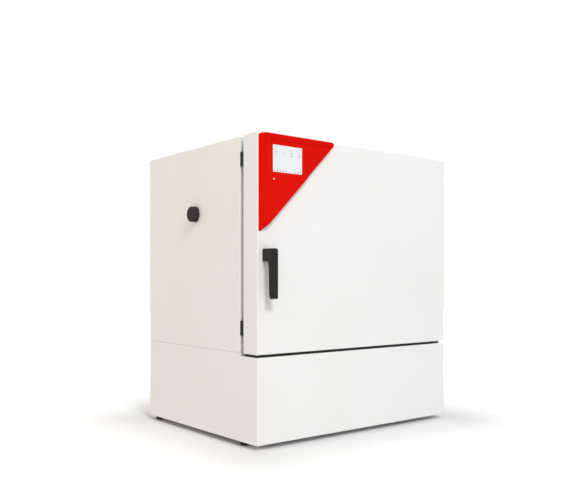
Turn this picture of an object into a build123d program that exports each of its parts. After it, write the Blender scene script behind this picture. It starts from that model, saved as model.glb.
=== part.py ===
from build123d import *
import math
import os

os.makedirs("parts", exist_ok=True)

# Cooled laboratory incubator, in millimetres.
# x runs to the right, y to the back and z up. The pieces are drawn about the middle of the body, and
# save() moves them so that the origin lies on the floor under the middle of the whole outline, with the
# port plug on the left and the handle in front.

# Overall body
width = 834.0
depth = 650.0
body_height = 909.0
foot_height = 16.0
base_height = 264.0
sheet = 1.5
edge_radius = 2.5
fit = 0.5
handle_out = 45.0
port_flange_thickness = 1.5
plug_gap = 0.3
plug_head_length = 19.0
outline_shift_x = (port_flange_thickness + plug_gap + plug_head_length) / 2
outline_shift_y = handle_out / 2

# Door, its gap to the cabinet and its slot over the base cover
door_thickness = 69.0
door_gap = 19.0
door_drop = 1.0
base_slot = 8.0

# Walls round the chamber, and the front frame round its mouth
side_wall = 117.0
level_wall = 81.0
rear_space = 140.0
chamber_corner = 20.0
vessel_sheet = 1.2
vessel_flange = 18.0
flange_width = 40.0
recess_margin = 36.0
recess_depth = 25.0
recess_corner = 14.0
frame_wall = 2.0
foam_back_thickness = 63.0

# Faces that several pieces share
half_width = width / 2
y_front = -depth / 2
y_back = depth / 2
y_door_back = y_front + door_thickness
y_face = y_door_back + door_gap
z_bottom = foot_height
z_seam = z_bottom + base_height
z_top = z_bottom + body_height
z_door = z_seam - door_drop
z_cover_top = z_door - base_slot
z_mid = (z_seam + z_top) / 2
y_seat = y_face + recess_depth
y_vessel = y_seat + frame_wall
y_chamber_back = y_back - rear_space
chamber_depth = y_chamber_back - y_vessel
chamber_width = width - 2 * side_wall
chamber_height = z_top - z_seam - 2 * level_wall
y_foam_back = y_chamber_back + vessel_sheet + foam_back_thickness
half_chamber = chamber_width / 2
half_chamber_height = chamber_height / 2
half_recess = half_chamber + recess_margin
half_recess_height = half_chamber_height + recess_margin
z_floor = z_mid - half_chamber_height
z_ceiling = z_mid + half_chamber_height


def upright(y):
    """Plane across the body at y, seen from the front: extruding comes towards the viewer."""
    return Plane.XZ.offset(-y)


def across(x):
    """Plane along the body at x: its own axes are the object's y and z."""
    return Plane.YZ.offset(x)


def level(z):
    """Level plane at height z."""
    return Plane.XY.offset(z)


def rect(u0, u1, v0, v1, radius=0.0, mode=Mode.ADD):
    """Rectangle in the sketch that is open, given by its four sides."""
    with Locations(((u0 + u1) / 2, (v0 + v1) / 2)):
        if radius > 0:
            RectangleRounded(u1 - u0, v1 - v0, radius, mode=mode)
        else:
            Rectangle(u1 - u0, v1 - v0, mode=mode)


def ring(half_u, half_v, radius=0.0, mode=Mode.ADD):
    """Rectangle round the chamber's axis, given by its half sizes."""
    rect(-half_u, half_u, z_mid - half_v, z_mid + half_v, radius, mode)


def block(x0, x1, y0, y1, z0, z1, mode=Mode.ADD):
    """Straight block in the part that is open, given by its six faces."""
    with Locations(((x0 + x1) / 2, (y0 + y1) / 2, (z0 + z1) / 2)):
        Box(x1 - x0, y1 - y0, z1 - z0, mode=mode)


def upright_rod(x, y, z0, z1, radius, mode=Mode.ADD):
    """Round bar or bore along z."""
    with Locations((x, y, (z0 + z1) / 2)):
        Cylinder(radius, z1 - z0, mode=mode)


def deep_rod(x, z, y0, y1, radius, mode=Mode.ADD):
    """Round bar or bore along y."""
    with Locations(Location((x, (y0 + y1) / 2, z), (90, 0, 0))):
        Cylinder(radius, y1 - y0, mode=mode)


def cross_rod(y, z, x0, x1, radius, mode=Mode.ADD):
    """Round bar or bore along x."""
    with Locations(Location(((x0 + x1) / 2, y, z), (0, 90, 0))):
        Cylinder(radius, x1 - x0, mode=mode)


def save(piece, label):
    """Move the piece to the shared frame, name it and write its file."""
    placed = Pos(outline_shift_x, outline_shift_y, 0) * piece.part
    placed.label = label
    export_step(placed, f"parts/{label}.step")


# Access port on the left side
port_y = 12.0
port_rise = 107.5
port_z = z_mid + port_rise
port_bore = 15.2
port_tube_radius = 17.0
port_flange_radius = 23.0
port_fit = 0.1

# Circulation fan behind the chamber
fan_shaft_radius = 4.0
fan_shaft_clear = 3.0
running_fit = 0.05

# Ring heater round the fan
heater_ring_radius = 95.0
heater_tube_radius = 4.25
heater_leg_half_angle = 25.0
heater_leg_fit = 0.3
heater_set = 20.0
y_heater = y_chamber_back - heater_set
heater_leg_x = heater_ring_radius * math.sin(math.radians(heater_leg_half_angle))
heater_leg_z = z_mid - heater_ring_radius * math.cos(math.radians(heater_leg_half_angle))

# Rear panels, and the condenser just inside the lower one
rear_set = 6.0
panel_lip = 15.0
condenser_depth = 34.0
condenser_space = 6.0
grille_lip = 8.0
y_rear = y_back - rear_set
y_condenser = y_rear - grille_lip - condenser_space - condenser_depth / 2

# Refrigerant lines through the wall and down to the base
suction_radius = 5.0
liquid_radius = 3.0
line_fit = 0.5
line_from_side = 50.0
line_set = 25.0
suction_down = 55.0
liquid_down = 95.0
suction_drop_set = 18.0
line_x = -half_chamber + line_from_side
line_inside_y = y_chamber_back - line_set
suction_z = z_ceiling - suction_down
liquid_z = z_ceiling - liquid_down
suction_drop_y = y_foam_back + suction_drop_set
liquid_drop_y = y_condenser

# Cabinet shell: folded steel, with a mitred flange round the front opening
with BuildPart() as cabinet_shell:
    with BuildSketch(upright(y_back)):
        rect(-half_width, half_width, z_seam, z_top)
    extrude(amount=y_back - y_face)
    fillet(cabinet_shell.edges().filter_by(Axis.Y), edge_radius)
    fillet(cabinet_shell.faces().sort_by(Axis.Y)[0].edges(), sheet)
    block(-half_width + sheet, half_width - sheet, y_face + sheet, y_back + sheet, z_seam + sheet,
          z_top - sheet, Mode.SUBTRACT)
    with BuildSketch(upright(y_face)):
        ring(half_width - flange_width, z_top - z_mid - flange_width)
    extrude(amount=2 * sheet, both=True, mode=Mode.SUBTRACT)
    cross_rod(port_y, port_z, -half_width - sheet, -half_width + 2 * sheet, port_tube_radius + port_fit,
              Mode.SUBTRACT)
    for y_line, radius in ((suction_drop_y, suction_radius), (liquid_drop_y, liquid_radius)):
        upright_rod(line_x, y_line, z_seam - sheet, z_seam + 2 * sheet, radius + line_fit, Mode.SUBTRACT)
save(cabinet_shell, "cabinet_shell")

# Rear panel of the cabinet: a tray with folded edges, set in from the shell's back edge
panel_bead_depth = 2.5
panel_bead_inset = 60.0
with BuildPart() as cabinet_rear_panel:
    with BuildSketch(upright(y_rear)):
        ring(half_width - sheet - fit, z_top - z_mid - sheet - fit)
    extrude(amount=panel_lip)
    offset(amount=-sheet, openings=cabinet_rear_panel.faces().sort_by(Axis.Y)[0], kind=Kind.INTERSECTION)
    with BuildSketch(upright(y_rear)):
        ring(half_width - panel_bead_inset, z_top - z_mid - panel_bead_inset, chamber_corner)
    extrude(amount=-panel_bead_depth)
    with BuildSketch(upright(y_rear - sheet)):
        ring(half_width - panel_bead_inset - sheet, z_top - z_mid - panel_bead_inset - sheet,
             chamber_corner - sheet)
    extrude(amount=-panel_bead_depth, mode=Mode.SUBTRACT)
save(cabinet_rear_panel, "cabinet_rear_panel")

# Front frame: the rim between the flange and the chamber, with the stepped recess for the glass door
with BuildPart() as front_frame:
    with BuildSketch(upright(y_face)):
        ring(half_width - flange_width - fit, z_top - z_mid - flange_width - fit)
        ring(half_recess, half_recess_height, recess_corner, Mode.SUBTRACT)
    extrude(amount=-frame_wall)
    with BuildSketch(upright(y_face)):
        ring(half_recess + frame_wall, half_recess_height + frame_wall, recess_corner + frame_wall)
        ring(half_recess, half_recess_height, recess_corner, Mode.SUBTRACT)
    extrude(amount=-recess_depth)
    with BuildSketch(upright(y_seat)):
        ring(half_recess + frame_wall, half_recess_height + frame_wall, recess_corner + frame_wall)
        ring(half_chamber, half_chamber_height, chamber_corner, Mode.SUBTRACT)
    extrude(amount=-frame_wall)
save(front_frame, "front_frame")

# Chamber vessel: drawn stainless steel, open at the front, with a flange behind the frame's seat
with BuildPart() as chamber_vessel:
    with BuildSketch(upright(y_vessel)):
        ring(half_chamber + vessel_sheet, half_chamber_height + vessel_sheet, chamber_corner + vessel_sheet)
    extrude(amount=-(chamber_depth + vessel_sheet))
    with BuildSketch(upright(y_vessel)):
        ring(half_chamber, half_chamber_height, chamber_corner)
    extrude(amount=-chamber_depth, mode=Mode.SUBTRACT)
    with BuildSketch(upright(y_vessel)):
        ring(half_chamber + vessel_flange, half_chamber_height + vessel_flange, chamber_corner)
        ring(half_chamber, half_chamber_height, chamber_corner, Mode.SUBTRACT)
    extrude(amount=-vessel_sheet)
    cross_rod(port_y, port_z, -half_chamber - 2 * vessel_sheet, -half_chamber + vessel_sheet,
              port_tube_radius + port_fit, Mode.SUBTRACT)
    deep_rod(0, z_mid, y_chamber_back - sheet, y_chamber_back + 2 * sheet, fan_shaft_radius + fan_shaft_clear,
             Mode.SUBTRACT)
    for side in (-1, 1):
        deep_rod(side * heater_leg_x, heater_leg_z, y_chamber_back - sheet, y_chamber_back + 2 * sheet,
                 heater_tube_radius + heater_leg_fit, Mode.SUBTRACT)
    deep_rod(line_x, suction_z, y_chamber_back - sheet, y_chamber_back + 2 * sheet, suction_radius + line_fit,
             Mode.SUBTRACT)
    deep_rod(line_x, liquid_z, y_chamber_back - sheet, y_chamber_back + 2 * sheet, liquid_radius + line_fit,
             Mode.SUBTRACT)
save(chamber_vessel, "chamber_vessel")

# Cabinet insulation: foam between the shell and the vessel
with BuildPart() as cabinet_insulation:
    block(-half_width + sheet + fit, half_width - sheet - fit, y_face + frame_wall, y_foam_back,
          z_seam + sheet + fit, z_top - sheet - fit)
    with BuildSketch(upright(y_face)):
        ring(half_recess + frame_wall, half_recess_height + frame_wall, recess_corner + frame_wall)
    extrude(amount=-(recess_depth + frame_wall + vessel_sheet), mode=Mode.SUBTRACT)
    with BuildSketch(upright(y_vessel)):
        ring(half_chamber + vessel_sheet, half_chamber_height + vessel_sheet, chamber_corner + vessel_sheet)
    extrude(amount=-(chamber_depth + vessel_sheet), mode=Mode.SUBTRACT)
    cross_rod(port_y, port_z, -half_width, -half_chamber, port_tube_radius + port_fit, Mode.SUBTRACT)
    deep_rod(0, z_mid, y_chamber_back, y_foam_back + sheet, fan_shaft_radius + fan_shaft_clear, Mode.SUBTRACT)
    for side in (-1, 1):
        deep_rod(side * heater_leg_x, heater_leg_z, y_chamber_back, y_foam_back + sheet,
                 heater_tube_radius + heater_leg_fit, Mode.SUBTRACT)
    deep_rod(line_x, suction_z, y_chamber_back, y_foam_back + sheet, suction_radius + line_fit, Mode.SUBTRACT)
    deep_rod(line_x, liquid_z, y_chamber_back, y_foam_back + sheet, liquid_radius + line_fit, Mode.SUBTRACT)
save(cabinet_insulation, "cabinet_insulation")

# Port tube: through the left wall, with a thin flange outside
with BuildPart() as port_tube:
    cross_rod(port_y, port_z, -half_width, -half_chamber, port_tube_radius)
    cross_rod(port_y, port_z, -half_width - port_flange_thickness, -half_width, port_flange_radius)
    cross_rod(port_y, port_z, -half_width - port_flange_thickness, -half_chamber, port_bore, Mode.SUBTRACT)
save(port_tube, "port_tube")

# Port plug: silicone, with a stem in the tube and a broad head outside
plug_head_radius = 25.0
plug_stem_length = 60.0
plug_edge = 3.0
plug_stem_edge = 1.5
x_plug_seat = -half_width - port_flange_thickness - plug_gap
with BuildPart() as port_plug:
    cross_rod(port_y, port_z, x_plug_seat - plug_head_length, x_plug_seat, plug_head_radius)
    fillet(port_plug.faces().sort_by(Axis.X)[0].edges(), plug_edge)
    cross_rod(port_y, port_z, x_plug_seat, x_plug_seat + plug_stem_length, port_bore - 2 * port_fit)
    chamfer(port_plug.faces().sort_by(Axis.X)[-1].edges(), plug_stem_edge)
save(port_plug, "port_plug")

# Air baffle: a steel screen in front of the fan, on posts from the chamber's rear wall
baffle_space = 46.0
baffle_sheet = 1.5
baffle_margin = 15.0
baffle_return = 12.0
baffle_post_radius = 5.0
baffle_post_inset = 25.0
y_baffle = y_chamber_back - baffle_space
half_baffle = half_chamber - baffle_margin
half_baffle_height = half_chamber_height - baffle_margin
inlet_slots = 14
inlet_slot = 46.0
inlet_slot_width = 7.0
inlet_radius = 42.0
outlet_slot = 42.0
outlet_slot_width = 8.0
outlet_inset = 15.0
outlet_rows = 12
outlet_pitch = 2 * half_baffle_height / (outlet_rows + 2)
with BuildPart() as air_baffle:
    with BuildSketch(upright(y_baffle)):
        ring(half_baffle, half_baffle_height)
    extrude(amount=-baffle_return)
    offset(amount=-baffle_sheet, openings=air_baffle.faces().sort_by(Axis.Y)[-1], kind=Kind.INTERSECTION)
    with BuildSketch(upright(y_baffle + baffle_sheet)):
        with Locations((0, z_mid)):
            with GridLocations(2 * (half_baffle - baffle_post_inset),
                               2 * (half_baffle_height - baffle_post_inset), 2, 2):
                Circle(baffle_post_radius)
    extrude(amount=-(baffle_space - baffle_sheet))
    with BuildSketch(upright(y_baffle)):
        with Locations((0, z_mid)):
            with PolarLocations(inlet_radius, inlet_slots):
                SlotOverall(inlet_slot, inlet_slot_width)
            with GridLocations(2 * (half_baffle - outlet_inset) - outlet_slot, outlet_pitch, 2, outlet_rows):
                SlotOverall(outlet_slot, outlet_slot_width)
    extrude(amount=-2 * baffle_sheet, mode=Mode.SUBTRACT)
save(air_baffle, "air_baffle")

# Rack rails: on each side two uprights on the wall carry level ledges
rail_sheet = 2.0
rail_upright_width = 18.0
rail_upright_inset = 35.0
ledge_from_front = 27.0
ledge_from_baffle = 22.0
ledge_width = 12.0
ledge_first = 69.0
ledge_space_above = 104.0
ledge_count = 6
ledge_lip = 8.0
ledge_length = y_baffle - y_vessel - ledge_from_front - ledge_from_baffle
ledge_pitch = (chamber_height - ledge_first - ledge_space_above) / (ledge_count - 1)
rail_y = y_vessel + ledge_from_front + ledge_length / 2
rail_x = half_chamber - rail_sheet
with BuildPart() as rack_rails:
    for side in (-1, 1):
        for end in (-1, 1):
            y_mid = rail_y + end * (ledge_length / 2 - rail_upright_inset)
            x0, x1 = sorted((side * half_chamber, side * rail_x))
            block(x0, x1, y_mid - rail_upright_width / 2, y_mid + rail_upright_width / 2,
                  z_floor + chamber_corner, z_ceiling - chamber_corner)
        for row in range(ledge_count):
            z_ledge = z_floor + ledge_first + row * ledge_pitch
            x0, x1 = sorted((side * rail_x, side * (rail_x - ledge_width)))
            block(x0, x1, rail_y - ledge_length / 2, rail_y + ledge_length / 2, z_ledge - rail_sheet, z_ledge)
            x0, x1 = sorted((side * rail_x, side * (rail_x - rail_sheet)))
            block(x0, x1, rail_y - ledge_length / 2, rail_y + ledge_length / 2, z_ledge, z_ledge + ledge_lip)
save(rack_rails, "rack_rails")

# Wire racks: a bent outer wire, two bars under it and straight wires across
rack_frame_radius = 3.0
rack_wire_radius = 1.5
rack_side_gap = 2.0
rack_corner = 14.0
rack_wires = 17
rack_end_gap = 2.0
rack_sink = 0.4
rack_flat = 0.86
half_rack = rail_x - rail_sheet - rack_side_gap - rack_frame_radius
half_rack_depth = ledge_length / 2 - rack_end_gap


def make_rack(label, row):
    """Make the rack that lies on the given row of ledges."""
    z_wire = z_floor + ledge_first + row * ledge_pitch + rack_frame_radius
    z_cross = z_wire + rack_frame_radius + rack_wire_radius - rack_sink
    with BuildPart() as rack:
        with BuildSketch(level(z_wire - rack_frame_radius * rack_flat)):
            with Locations((0, rail_y)):
                RectangleRounded(2 * (half_rack + rack_frame_radius), 2 * (half_rack_depth + rack_frame_radius),
                                 rack_corner + rack_frame_radius)
                RectangleRounded(2 * (half_rack - rack_frame_radius), 2 * (half_rack_depth - rack_frame_radius),
                                 rack_corner - rack_frame_radius, mode=Mode.SUBTRACT)
        extrude(amount=rack_frame_radius * (1 + rack_flat))
        for wire in range(rack_wires):
            x = -half_rack + (wire + 1) * 2 * half_rack / (rack_wires + 1)
            deep_rod(x, z_cross, rail_y - half_rack_depth, rail_y + half_rack_depth, rack_wire_radius)
        cross_rod(rail_y, z_wire, -half_rack, half_rack, rack_frame_radius)
    save(rack, label)


make_rack("rack_lower", 1)
make_rack("rack_upper", 4)

# Circulation fan: shaft, hub, back plate and backward-leaning blades
impeller_radius = 70.0
impeller_eye = 36.0
impeller_depth = 24.0
impeller_plate = 2.0
impeller_hub_radius = 14.0
blade_count = 10
blade_sheet = 1.6
blade_lean = 32.0
blade_edge = 1.0
impeller_gap = 8.0
hub_set = 4.0
motor_bore_depth = 34.0
motor_gap = 1.0
y_impeller_back = y_chamber_back - impeller_gap
y_impeller_front = y_impeller_back - impeller_depth
y_motor = y_foam_back + motor_gap


def polar(radius, degrees):
    """Point of the sketch at a radius and angle round the fan's axis."""
    turn = math.radians(degrees)
    return (radius * math.cos(turn), z_mid + radius * math.sin(turn))


with BuildPart() as circulation_fan:
    deep_rod(0, z_mid, y_impeller_front, y_motor + motor_bore_depth, fan_shaft_radius)
    deep_rod(0, z_mid, y_impeller_front + hub_set, y_impeller_back, impeller_hub_radius)
    deep_rod(0, z_mid, y_impeller_back - impeller_plate, y_impeller_back, impeller_radius)
    with BuildSketch(upright(y_impeller_back - impeller_plate)):
        for blade in range(blade_count):
            start = blade * 360 / blade_count
            inner, outer = impeller_eye, impeller_radius - blade_edge
            middle = (inner + outer) / 2
            half_turn = math.degrees(blade_sheet / middle) / 2
            bend_turn, end_turn = start - blade_lean / 3, start - blade_lean
            with BuildLine():
                ThreePointArc(polar(inner, start - half_turn), polar(middle, bend_turn - half_turn),
                              polar(outer, end_turn - half_turn))
                Line(polar(outer, end_turn - half_turn), polar(outer, end_turn + half_turn))
                ThreePointArc(polar(outer, end_turn + half_turn), polar(middle, bend_turn + half_turn),
                              polar(inner, start + half_turn))
                Line(polar(inner, start + half_turn), polar(inner, start - half_turn))
            make_face()
    extrude(amount=impeller_depth - impeller_plate)
save(circulation_fan, "circulation_fan")

# Circulation motor: a can with a flange, behind the insulation
motor_radius = 38.0
motor_length = 52.0
motor_flange = 100.0
motor_flange_corner = 12.0
motor_flange_sheet = 3.0
motor_edge = 4.0
with BuildPart() as circulation_motor:
    with BuildSketch(upright(y_foam_back)):
        with Locations((0, z_mid)):
            RectangleRounded(motor_flange, motor_flange, motor_flange_corner)
    extrude(amount=-motor_flange_sheet)
    deep_rod(0, z_mid, y_foam_back, y_foam_back + motor_length, motor_radius)
    chamfer(circulation_motor.faces().sort_by(Axis.Y)[-1].edges(), motor_edge)
    deep_rod(0, z_mid, y_foam_back, y_motor + motor_bore_depth + motor_gap, fan_shaft_radius + running_fit,
             Mode.SUBTRACT)
save(circulation_motor, "circulation_motor")

# Ring heater: a round tube about the fan, with two legs through the rear wall
heater_leg_end = 6.0
with BuildPart() as heating_element:
    with BuildSketch(across(0)):
        with Locations((y_heater, z_mid + heater_ring_radius)):
            Circle(heater_tube_radius)
    revolve(axis=Axis((0, y_heater, z_mid), (0, 1, 0)), revolution_arc=360)
    for side in (-1, 1):
        deep_rod(side * heater_leg_x, heater_leg_z, y_heater, y_foam_back + heater_leg_end, heater_tube_radius)
save(heating_element, "heating_element")

# Evaporator: tubes through thin fins, high behind the baffle
evaporator_from_side = 110.0
evaporator_height = 70.0
evaporator_depth = 30.0
evaporator_fins = 20
evaporator_fin = 1.0
evaporator_tube_radius = 4.5
evaporator_stub = 8.0
evaporator_strap = 6.0
evaporator_half = half_chamber - evaporator_from_side
z_evaporator = (suction_z + liquid_z) / 2
y_evaporator = line_inside_y
with BuildPart() as evaporator:
    for fin in range(evaporator_fins):
        x_fin = -evaporator_half + fin * 2 * evaporator_half / (evaporator_fins - 1)
        block(x_fin - evaporator_fin / 2, x_fin + evaporator_fin / 2, y_evaporator - evaporator_depth / 2,
              y_evaporator + evaporator_depth / 2, z_evaporator - evaporator_height / 2,
              z_evaporator + evaporator_height / 2)
    for height in (liquid_z, suction_z):
        cross_rod(y_evaporator, height, -evaporator_half - evaporator_stub, evaporator_half + evaporator_stub,
                  evaporator_tube_radius)
    block(-evaporator_half, evaporator_half, y_evaporator + evaporator_depth / 2 - evaporator_fin,
          y_chamber_back, z_evaporator - evaporator_strap / 2, z_evaporator + evaporator_strap / 2)
save(evaporator, "evaporator")

# Temperature probe: a sensor rod in a holder under the chamber's ceiling
probe_from_side = 90.0
probe_from_baffle = 45.0
probe_drop = 22.0
probe_length = 70.0
probe_radius = 2.5
holder_width = 14.0
holder_depth = 18.0
holder_below = 6.0
holder_corner = 3.0
probe_x = half_chamber - probe_from_side
probe_y = y_baffle - probe_from_baffle
with BuildPart() as temperature_probe:
    block(probe_x - holder_width / 2, probe_x + holder_width / 2, probe_y - holder_depth / 2,
          probe_y + holder_depth / 2, z_ceiling - probe_drop - holder_below, z_ceiling)
    fillet(temperature_probe.edges().filter_by(Axis.Z), holder_corner)
    deep_rod(probe_x, z_ceiling - probe_drop, probe_y - probe_length, probe_y, probe_radius)
save(temperature_probe, "temperature_probe")

# Glass door: pane, gasket, hinge leaves and knob, in the front frame's recess
glass_thickness = 5.0
glass_margin = 20.0
glass_gasket_thickness = 5.0
glass_gasket_width = 12.0
glass_gasket_gap = 0.3
glass_corner = 10.0
glass_edge = 0.8
glass_gasket_inset = 2.0
y_glass_back = y_seat - glass_gasket_gap - glass_gasket_thickness
y_glass_front = y_glass_back - glass_thickness
half_glass = half_chamber + glass_margin
half_glass_height = half_chamber_height + glass_margin
with BuildPart() as glass_pane:
    with BuildSketch(upright(y_glass_back)):
        ring(half_glass, half_glass_height, glass_corner)
    extrude(amount=glass_thickness)
    chamfer(glass_pane.faces().sort_by(Axis.Y)[0].edges(), glass_edge)
save(glass_pane, "glass_pane")

with BuildPart() as glass_door_gasket:
    with BuildSketch(upright(y_glass_back)):
        ring(half_chamber + glass_gasket_inset + glass_gasket_width,
             half_chamber_height + glass_gasket_inset + glass_gasket_width, chamber_corner)
        ring(half_chamber + glass_gasket_inset, half_chamber_height + glass_gasket_inset, chamber_corner,
             Mode.SUBTRACT)
    extrude(amount=-glass_gasket_thickness)
save(glass_door_gasket, "glass_door_gasket")

leaf_sheet = 2.0
leaf_height = 44.0
leaf_reach = 30.0
knuckle_radius = 4.0
knuckle_gap = 2.0
glass_pin_radius = 2.0
glass_hinge_from_end = 71.5
glass_hinge_spacing = half_glass_height - glass_hinge_from_end
glass_hinge_x = half_glass + knuckle_gap + knuckle_radius
glass_hinge_y = y_glass_front - leaf_sheet / 2
with BuildPart() as glass_door_hinge_leaves:
    for end in (-1, 1):
        z_hinge = z_mid + end * glass_hinge_spacing
        z0, z1 = z_hinge - leaf_height / 2, z_hinge + leaf_height / 2
        block(half_glass - leaf_reach, glass_hinge_x, y_glass_front - leaf_sheet, y_glass_front, z0, z1)
        upright_rod(glass_hinge_x, glass_hinge_y, z0, z1, knuckle_radius)
        upright_rod(glass_hinge_x, glass_hinge_y, z0, z1, glass_pin_radius + running_fit, Mode.SUBTRACT)
save(glass_door_hinge_leaves, "glass_door_hinge_leaves")

# Hinge brackets of the glass door: a plate on the recess wall with two ears and a pin
ear_thickness = 5.0
ear_gap = 0.4
bracket_sheet = 3.0
ear_radius = 5.0
bracket_half_width = 7.0
with BuildPart() as glass_door_hinge_brackets:
    for end in (-1, 1):
        z_hinge = z_mid + end * glass_hinge_spacing
        reach = leaf_height / 2 + ear_gap
        block(half_recess - bracket_sheet, half_recess, glass_hinge_y - bracket_half_width,
              glass_hinge_y + bracket_half_width,
              z_hinge - reach - ear_thickness, z_hinge + reach + ear_thickness)
        for ear in (-1, 1):
            z0, z1 = sorted((z_hinge + ear * reach, z_hinge + ear * (reach + ear_thickness)))
            block(glass_hinge_x, half_recess, glass_hinge_y - ear_radius, glass_hinge_y + ear_radius, z0, z1)
            upright_rod(glass_hinge_x, glass_hinge_y, z0, z1, ear_radius)
        upright_rod(glass_hinge_x, glass_hinge_y, z_hinge - reach - ear_thickness,
                    z_hinge + reach + ear_thickness, glass_pin_radius)
save(glass_door_hinge_brackets, "glass_door_hinge_brackets")

knob_radius = 11.0
knob_neck_radius = 5.0
knob_length = 20.0
knob_edge = 2.5
knob_from_edge = 24.0
knob_x = -half_glass + knob_from_edge
with BuildPart() as glass_door_knob:
    deep_rod(knob_x, z_mid, y_glass_front - knob_length / 2, y_glass_front, knob_neck_radius)
    deep_rod(knob_x, z_mid, y_glass_front - knob_length, y_glass_front - knob_length / 2, knob_radius)
    chamfer(glass_door_knob.faces().sort_by(Axis.Y)[0].edges(), knob_edge)
save(glass_door_knob, "glass_door_knob")

# Hinges of the outer door, on its right
hinge_from_side = 24.0
hinge_from_front = 30.0
hinge_x = half_width - hinge_from_side
hinge_y = y_front + hinge_from_front
hinge_pin_radius = 5.0
bush_radius = 8.0
bush_length = 24.0
arm_thickness = 6.0
arm_half_width = 10.0
arm_drop = 7.0
bracket_leg = 5.0
upper_leg_length = 58.0
lower_leg_length = 60.0
screw_hole_radius = 3.2
screw_levels = (18.0, 40.0)
rib_sheet = 4.0
rib_height = 50.0
pin_edge = 0.8
pin_end_gap = 3.0
block_edge = 2.0
pivot_block = 28.0
pivot_block_gap = 0.6
lower_arm_gap = 1.0
door_pocket_clear = 2.5
z_arm_top = z_top - arm_drop
z_arm_bottom = z_arm_top - arm_thickness
z_pocket = z_arm_bottom - door_pocket_clear
z_lower_arm = z_cover_top - sheet - lower_arm_gap
half_block = pivot_block / 2
with BuildPart() as hinge_bracket_upper:
    block(hinge_x - arm_half_width, hinge_x + arm_half_width, y_face - bracket_leg, y_face,
          z_arm_top - upper_leg_length, z_arm_top)
    block(hinge_x - arm_half_width, hinge_x + arm_half_width, hinge_y, y_face, z_arm_bottom, z_arm_top)
    upright_rod(hinge_x, hinge_y, z_arm_bottom, z_arm_top, arm_half_width)
    upright_rod(hinge_x, hinge_y, z_arm_bottom, z_arm_top, hinge_pin_radius, Mode.SUBTRACT)
    for height in screw_levels:
        deep_rod(hinge_x, z_arm_top - height, y_face - bracket_leg, y_face, screw_hole_radius, Mode.SUBTRACT)
save(hinge_bracket_upper, "hinge_bracket_upper")

with BuildPart() as hinge_bracket_lower:
    block(hinge_x - half_block, hinge_x + half_block, y_face - bracket_leg, y_face,
          z_lower_arm - lower_leg_length, z_lower_arm)
    block(hinge_x - half_block, hinge_x + half_block, hinge_y - half_block, y_face, z_lower_arm - arm_thickness,
          z_lower_arm)
    for edge in (-1, 1):
        x_rib = hinge_x + edge * (half_block - rib_sheet / 2)
        with BuildSketch(across(x_rib - rib_sheet / 2)):
            with BuildLine():
                Polyline((y_face - bracket_leg, z_lower_arm - arm_thickness),
                         (hinge_y, z_lower_arm - arm_thickness),
                         (y_face - bracket_leg, z_lower_arm - rib_height), close=True)
            make_face()
        extrude(amount=rib_sheet)
    upright_rod(hinge_x, hinge_y, z_lower_arm - arm_thickness, z_lower_arm, hinge_pin_radius, Mode.SUBTRACT)
save(hinge_bracket_lower, "hinge_bracket_lower")

with BuildPart() as lower_pivot_block:
    block(hinge_x - half_block, hinge_x + half_block, hinge_y - half_block, hinge_y + half_block, z_lower_arm,
          z_door - pivot_block_gap)
    chamfer(lower_pivot_block.edges().filter_by(Axis.Z), block_edge)
    upright_rod(hinge_x, hinge_y, z_lower_arm, z_door, hinge_pin_radius, Mode.SUBTRACT)
save(lower_pivot_block, "lower_pivot_block")

with BuildPart() as hinge_pins:
    upright_rod(hinge_x, hinge_y, z_lower_arm - arm_thickness, z_door + bush_length - pin_end_gap,
                hinge_pin_radius)
    upright_rod(hinge_x, hinge_y, z_pocket - bush_length + pin_end_gap, z_arm_top, hinge_pin_radius)
    chamfer(hinge_pins.edges().group_by(Axis.Z)[1] + hinge_pins.edges().group_by(Axis.Z)[2], pin_edge)
save(hinge_pins, "hinge_pins")

with BuildPart() as hinge_bushes:
    upright_rod(hinge_x, hinge_y, z_door, z_door + bush_length, bush_radius)
    upright_rod(hinge_x, hinge_y, z_pocket - bush_length, z_pocket, bush_radius)
    upright_rod(hinge_x, hinge_y, z_door, z_pocket, hinge_pin_radius + running_fit, Mode.SUBTRACT)
save(hinge_bushes, "hinge_bushes")

# Latch: a pinion on the handle's spindle drives two racks, one up and one down
spindle_from_side = 30.0
spindle_below_middle = 33.5
spindle_x = -half_width + spindle_from_side
spindle_z = z_mid - spindle_below_middle
gear_module = 1.0
gear_teeth = 18
gear_width = 5.0
pressure = math.radians(20)
gear_radius = gear_module * gear_teeth / 2
gear_spread = 0.1
rack_thin = 0.12
pinion_thin = 0.06
rod_travel = gear_radius * math.pi / 2
spindle_radius = 6.0
spindle_end_radius = 4.0
square = 8.0
case_half_width = 21.0
case_half_height = 29.0
case_front_wall = 10.0
case_back_wall = 8.0
slide_fit = 0.1
gear_from_front = 25.0
y_gear_front = y_front + gear_from_front
y_gear_back = y_gear_front + gear_width
rod_web = 4.65
x_rod_outer = spindle_x - gear_radius - gear_spread - 1.25 * gear_module - rod_web
spindle_fit = 0.06

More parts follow.
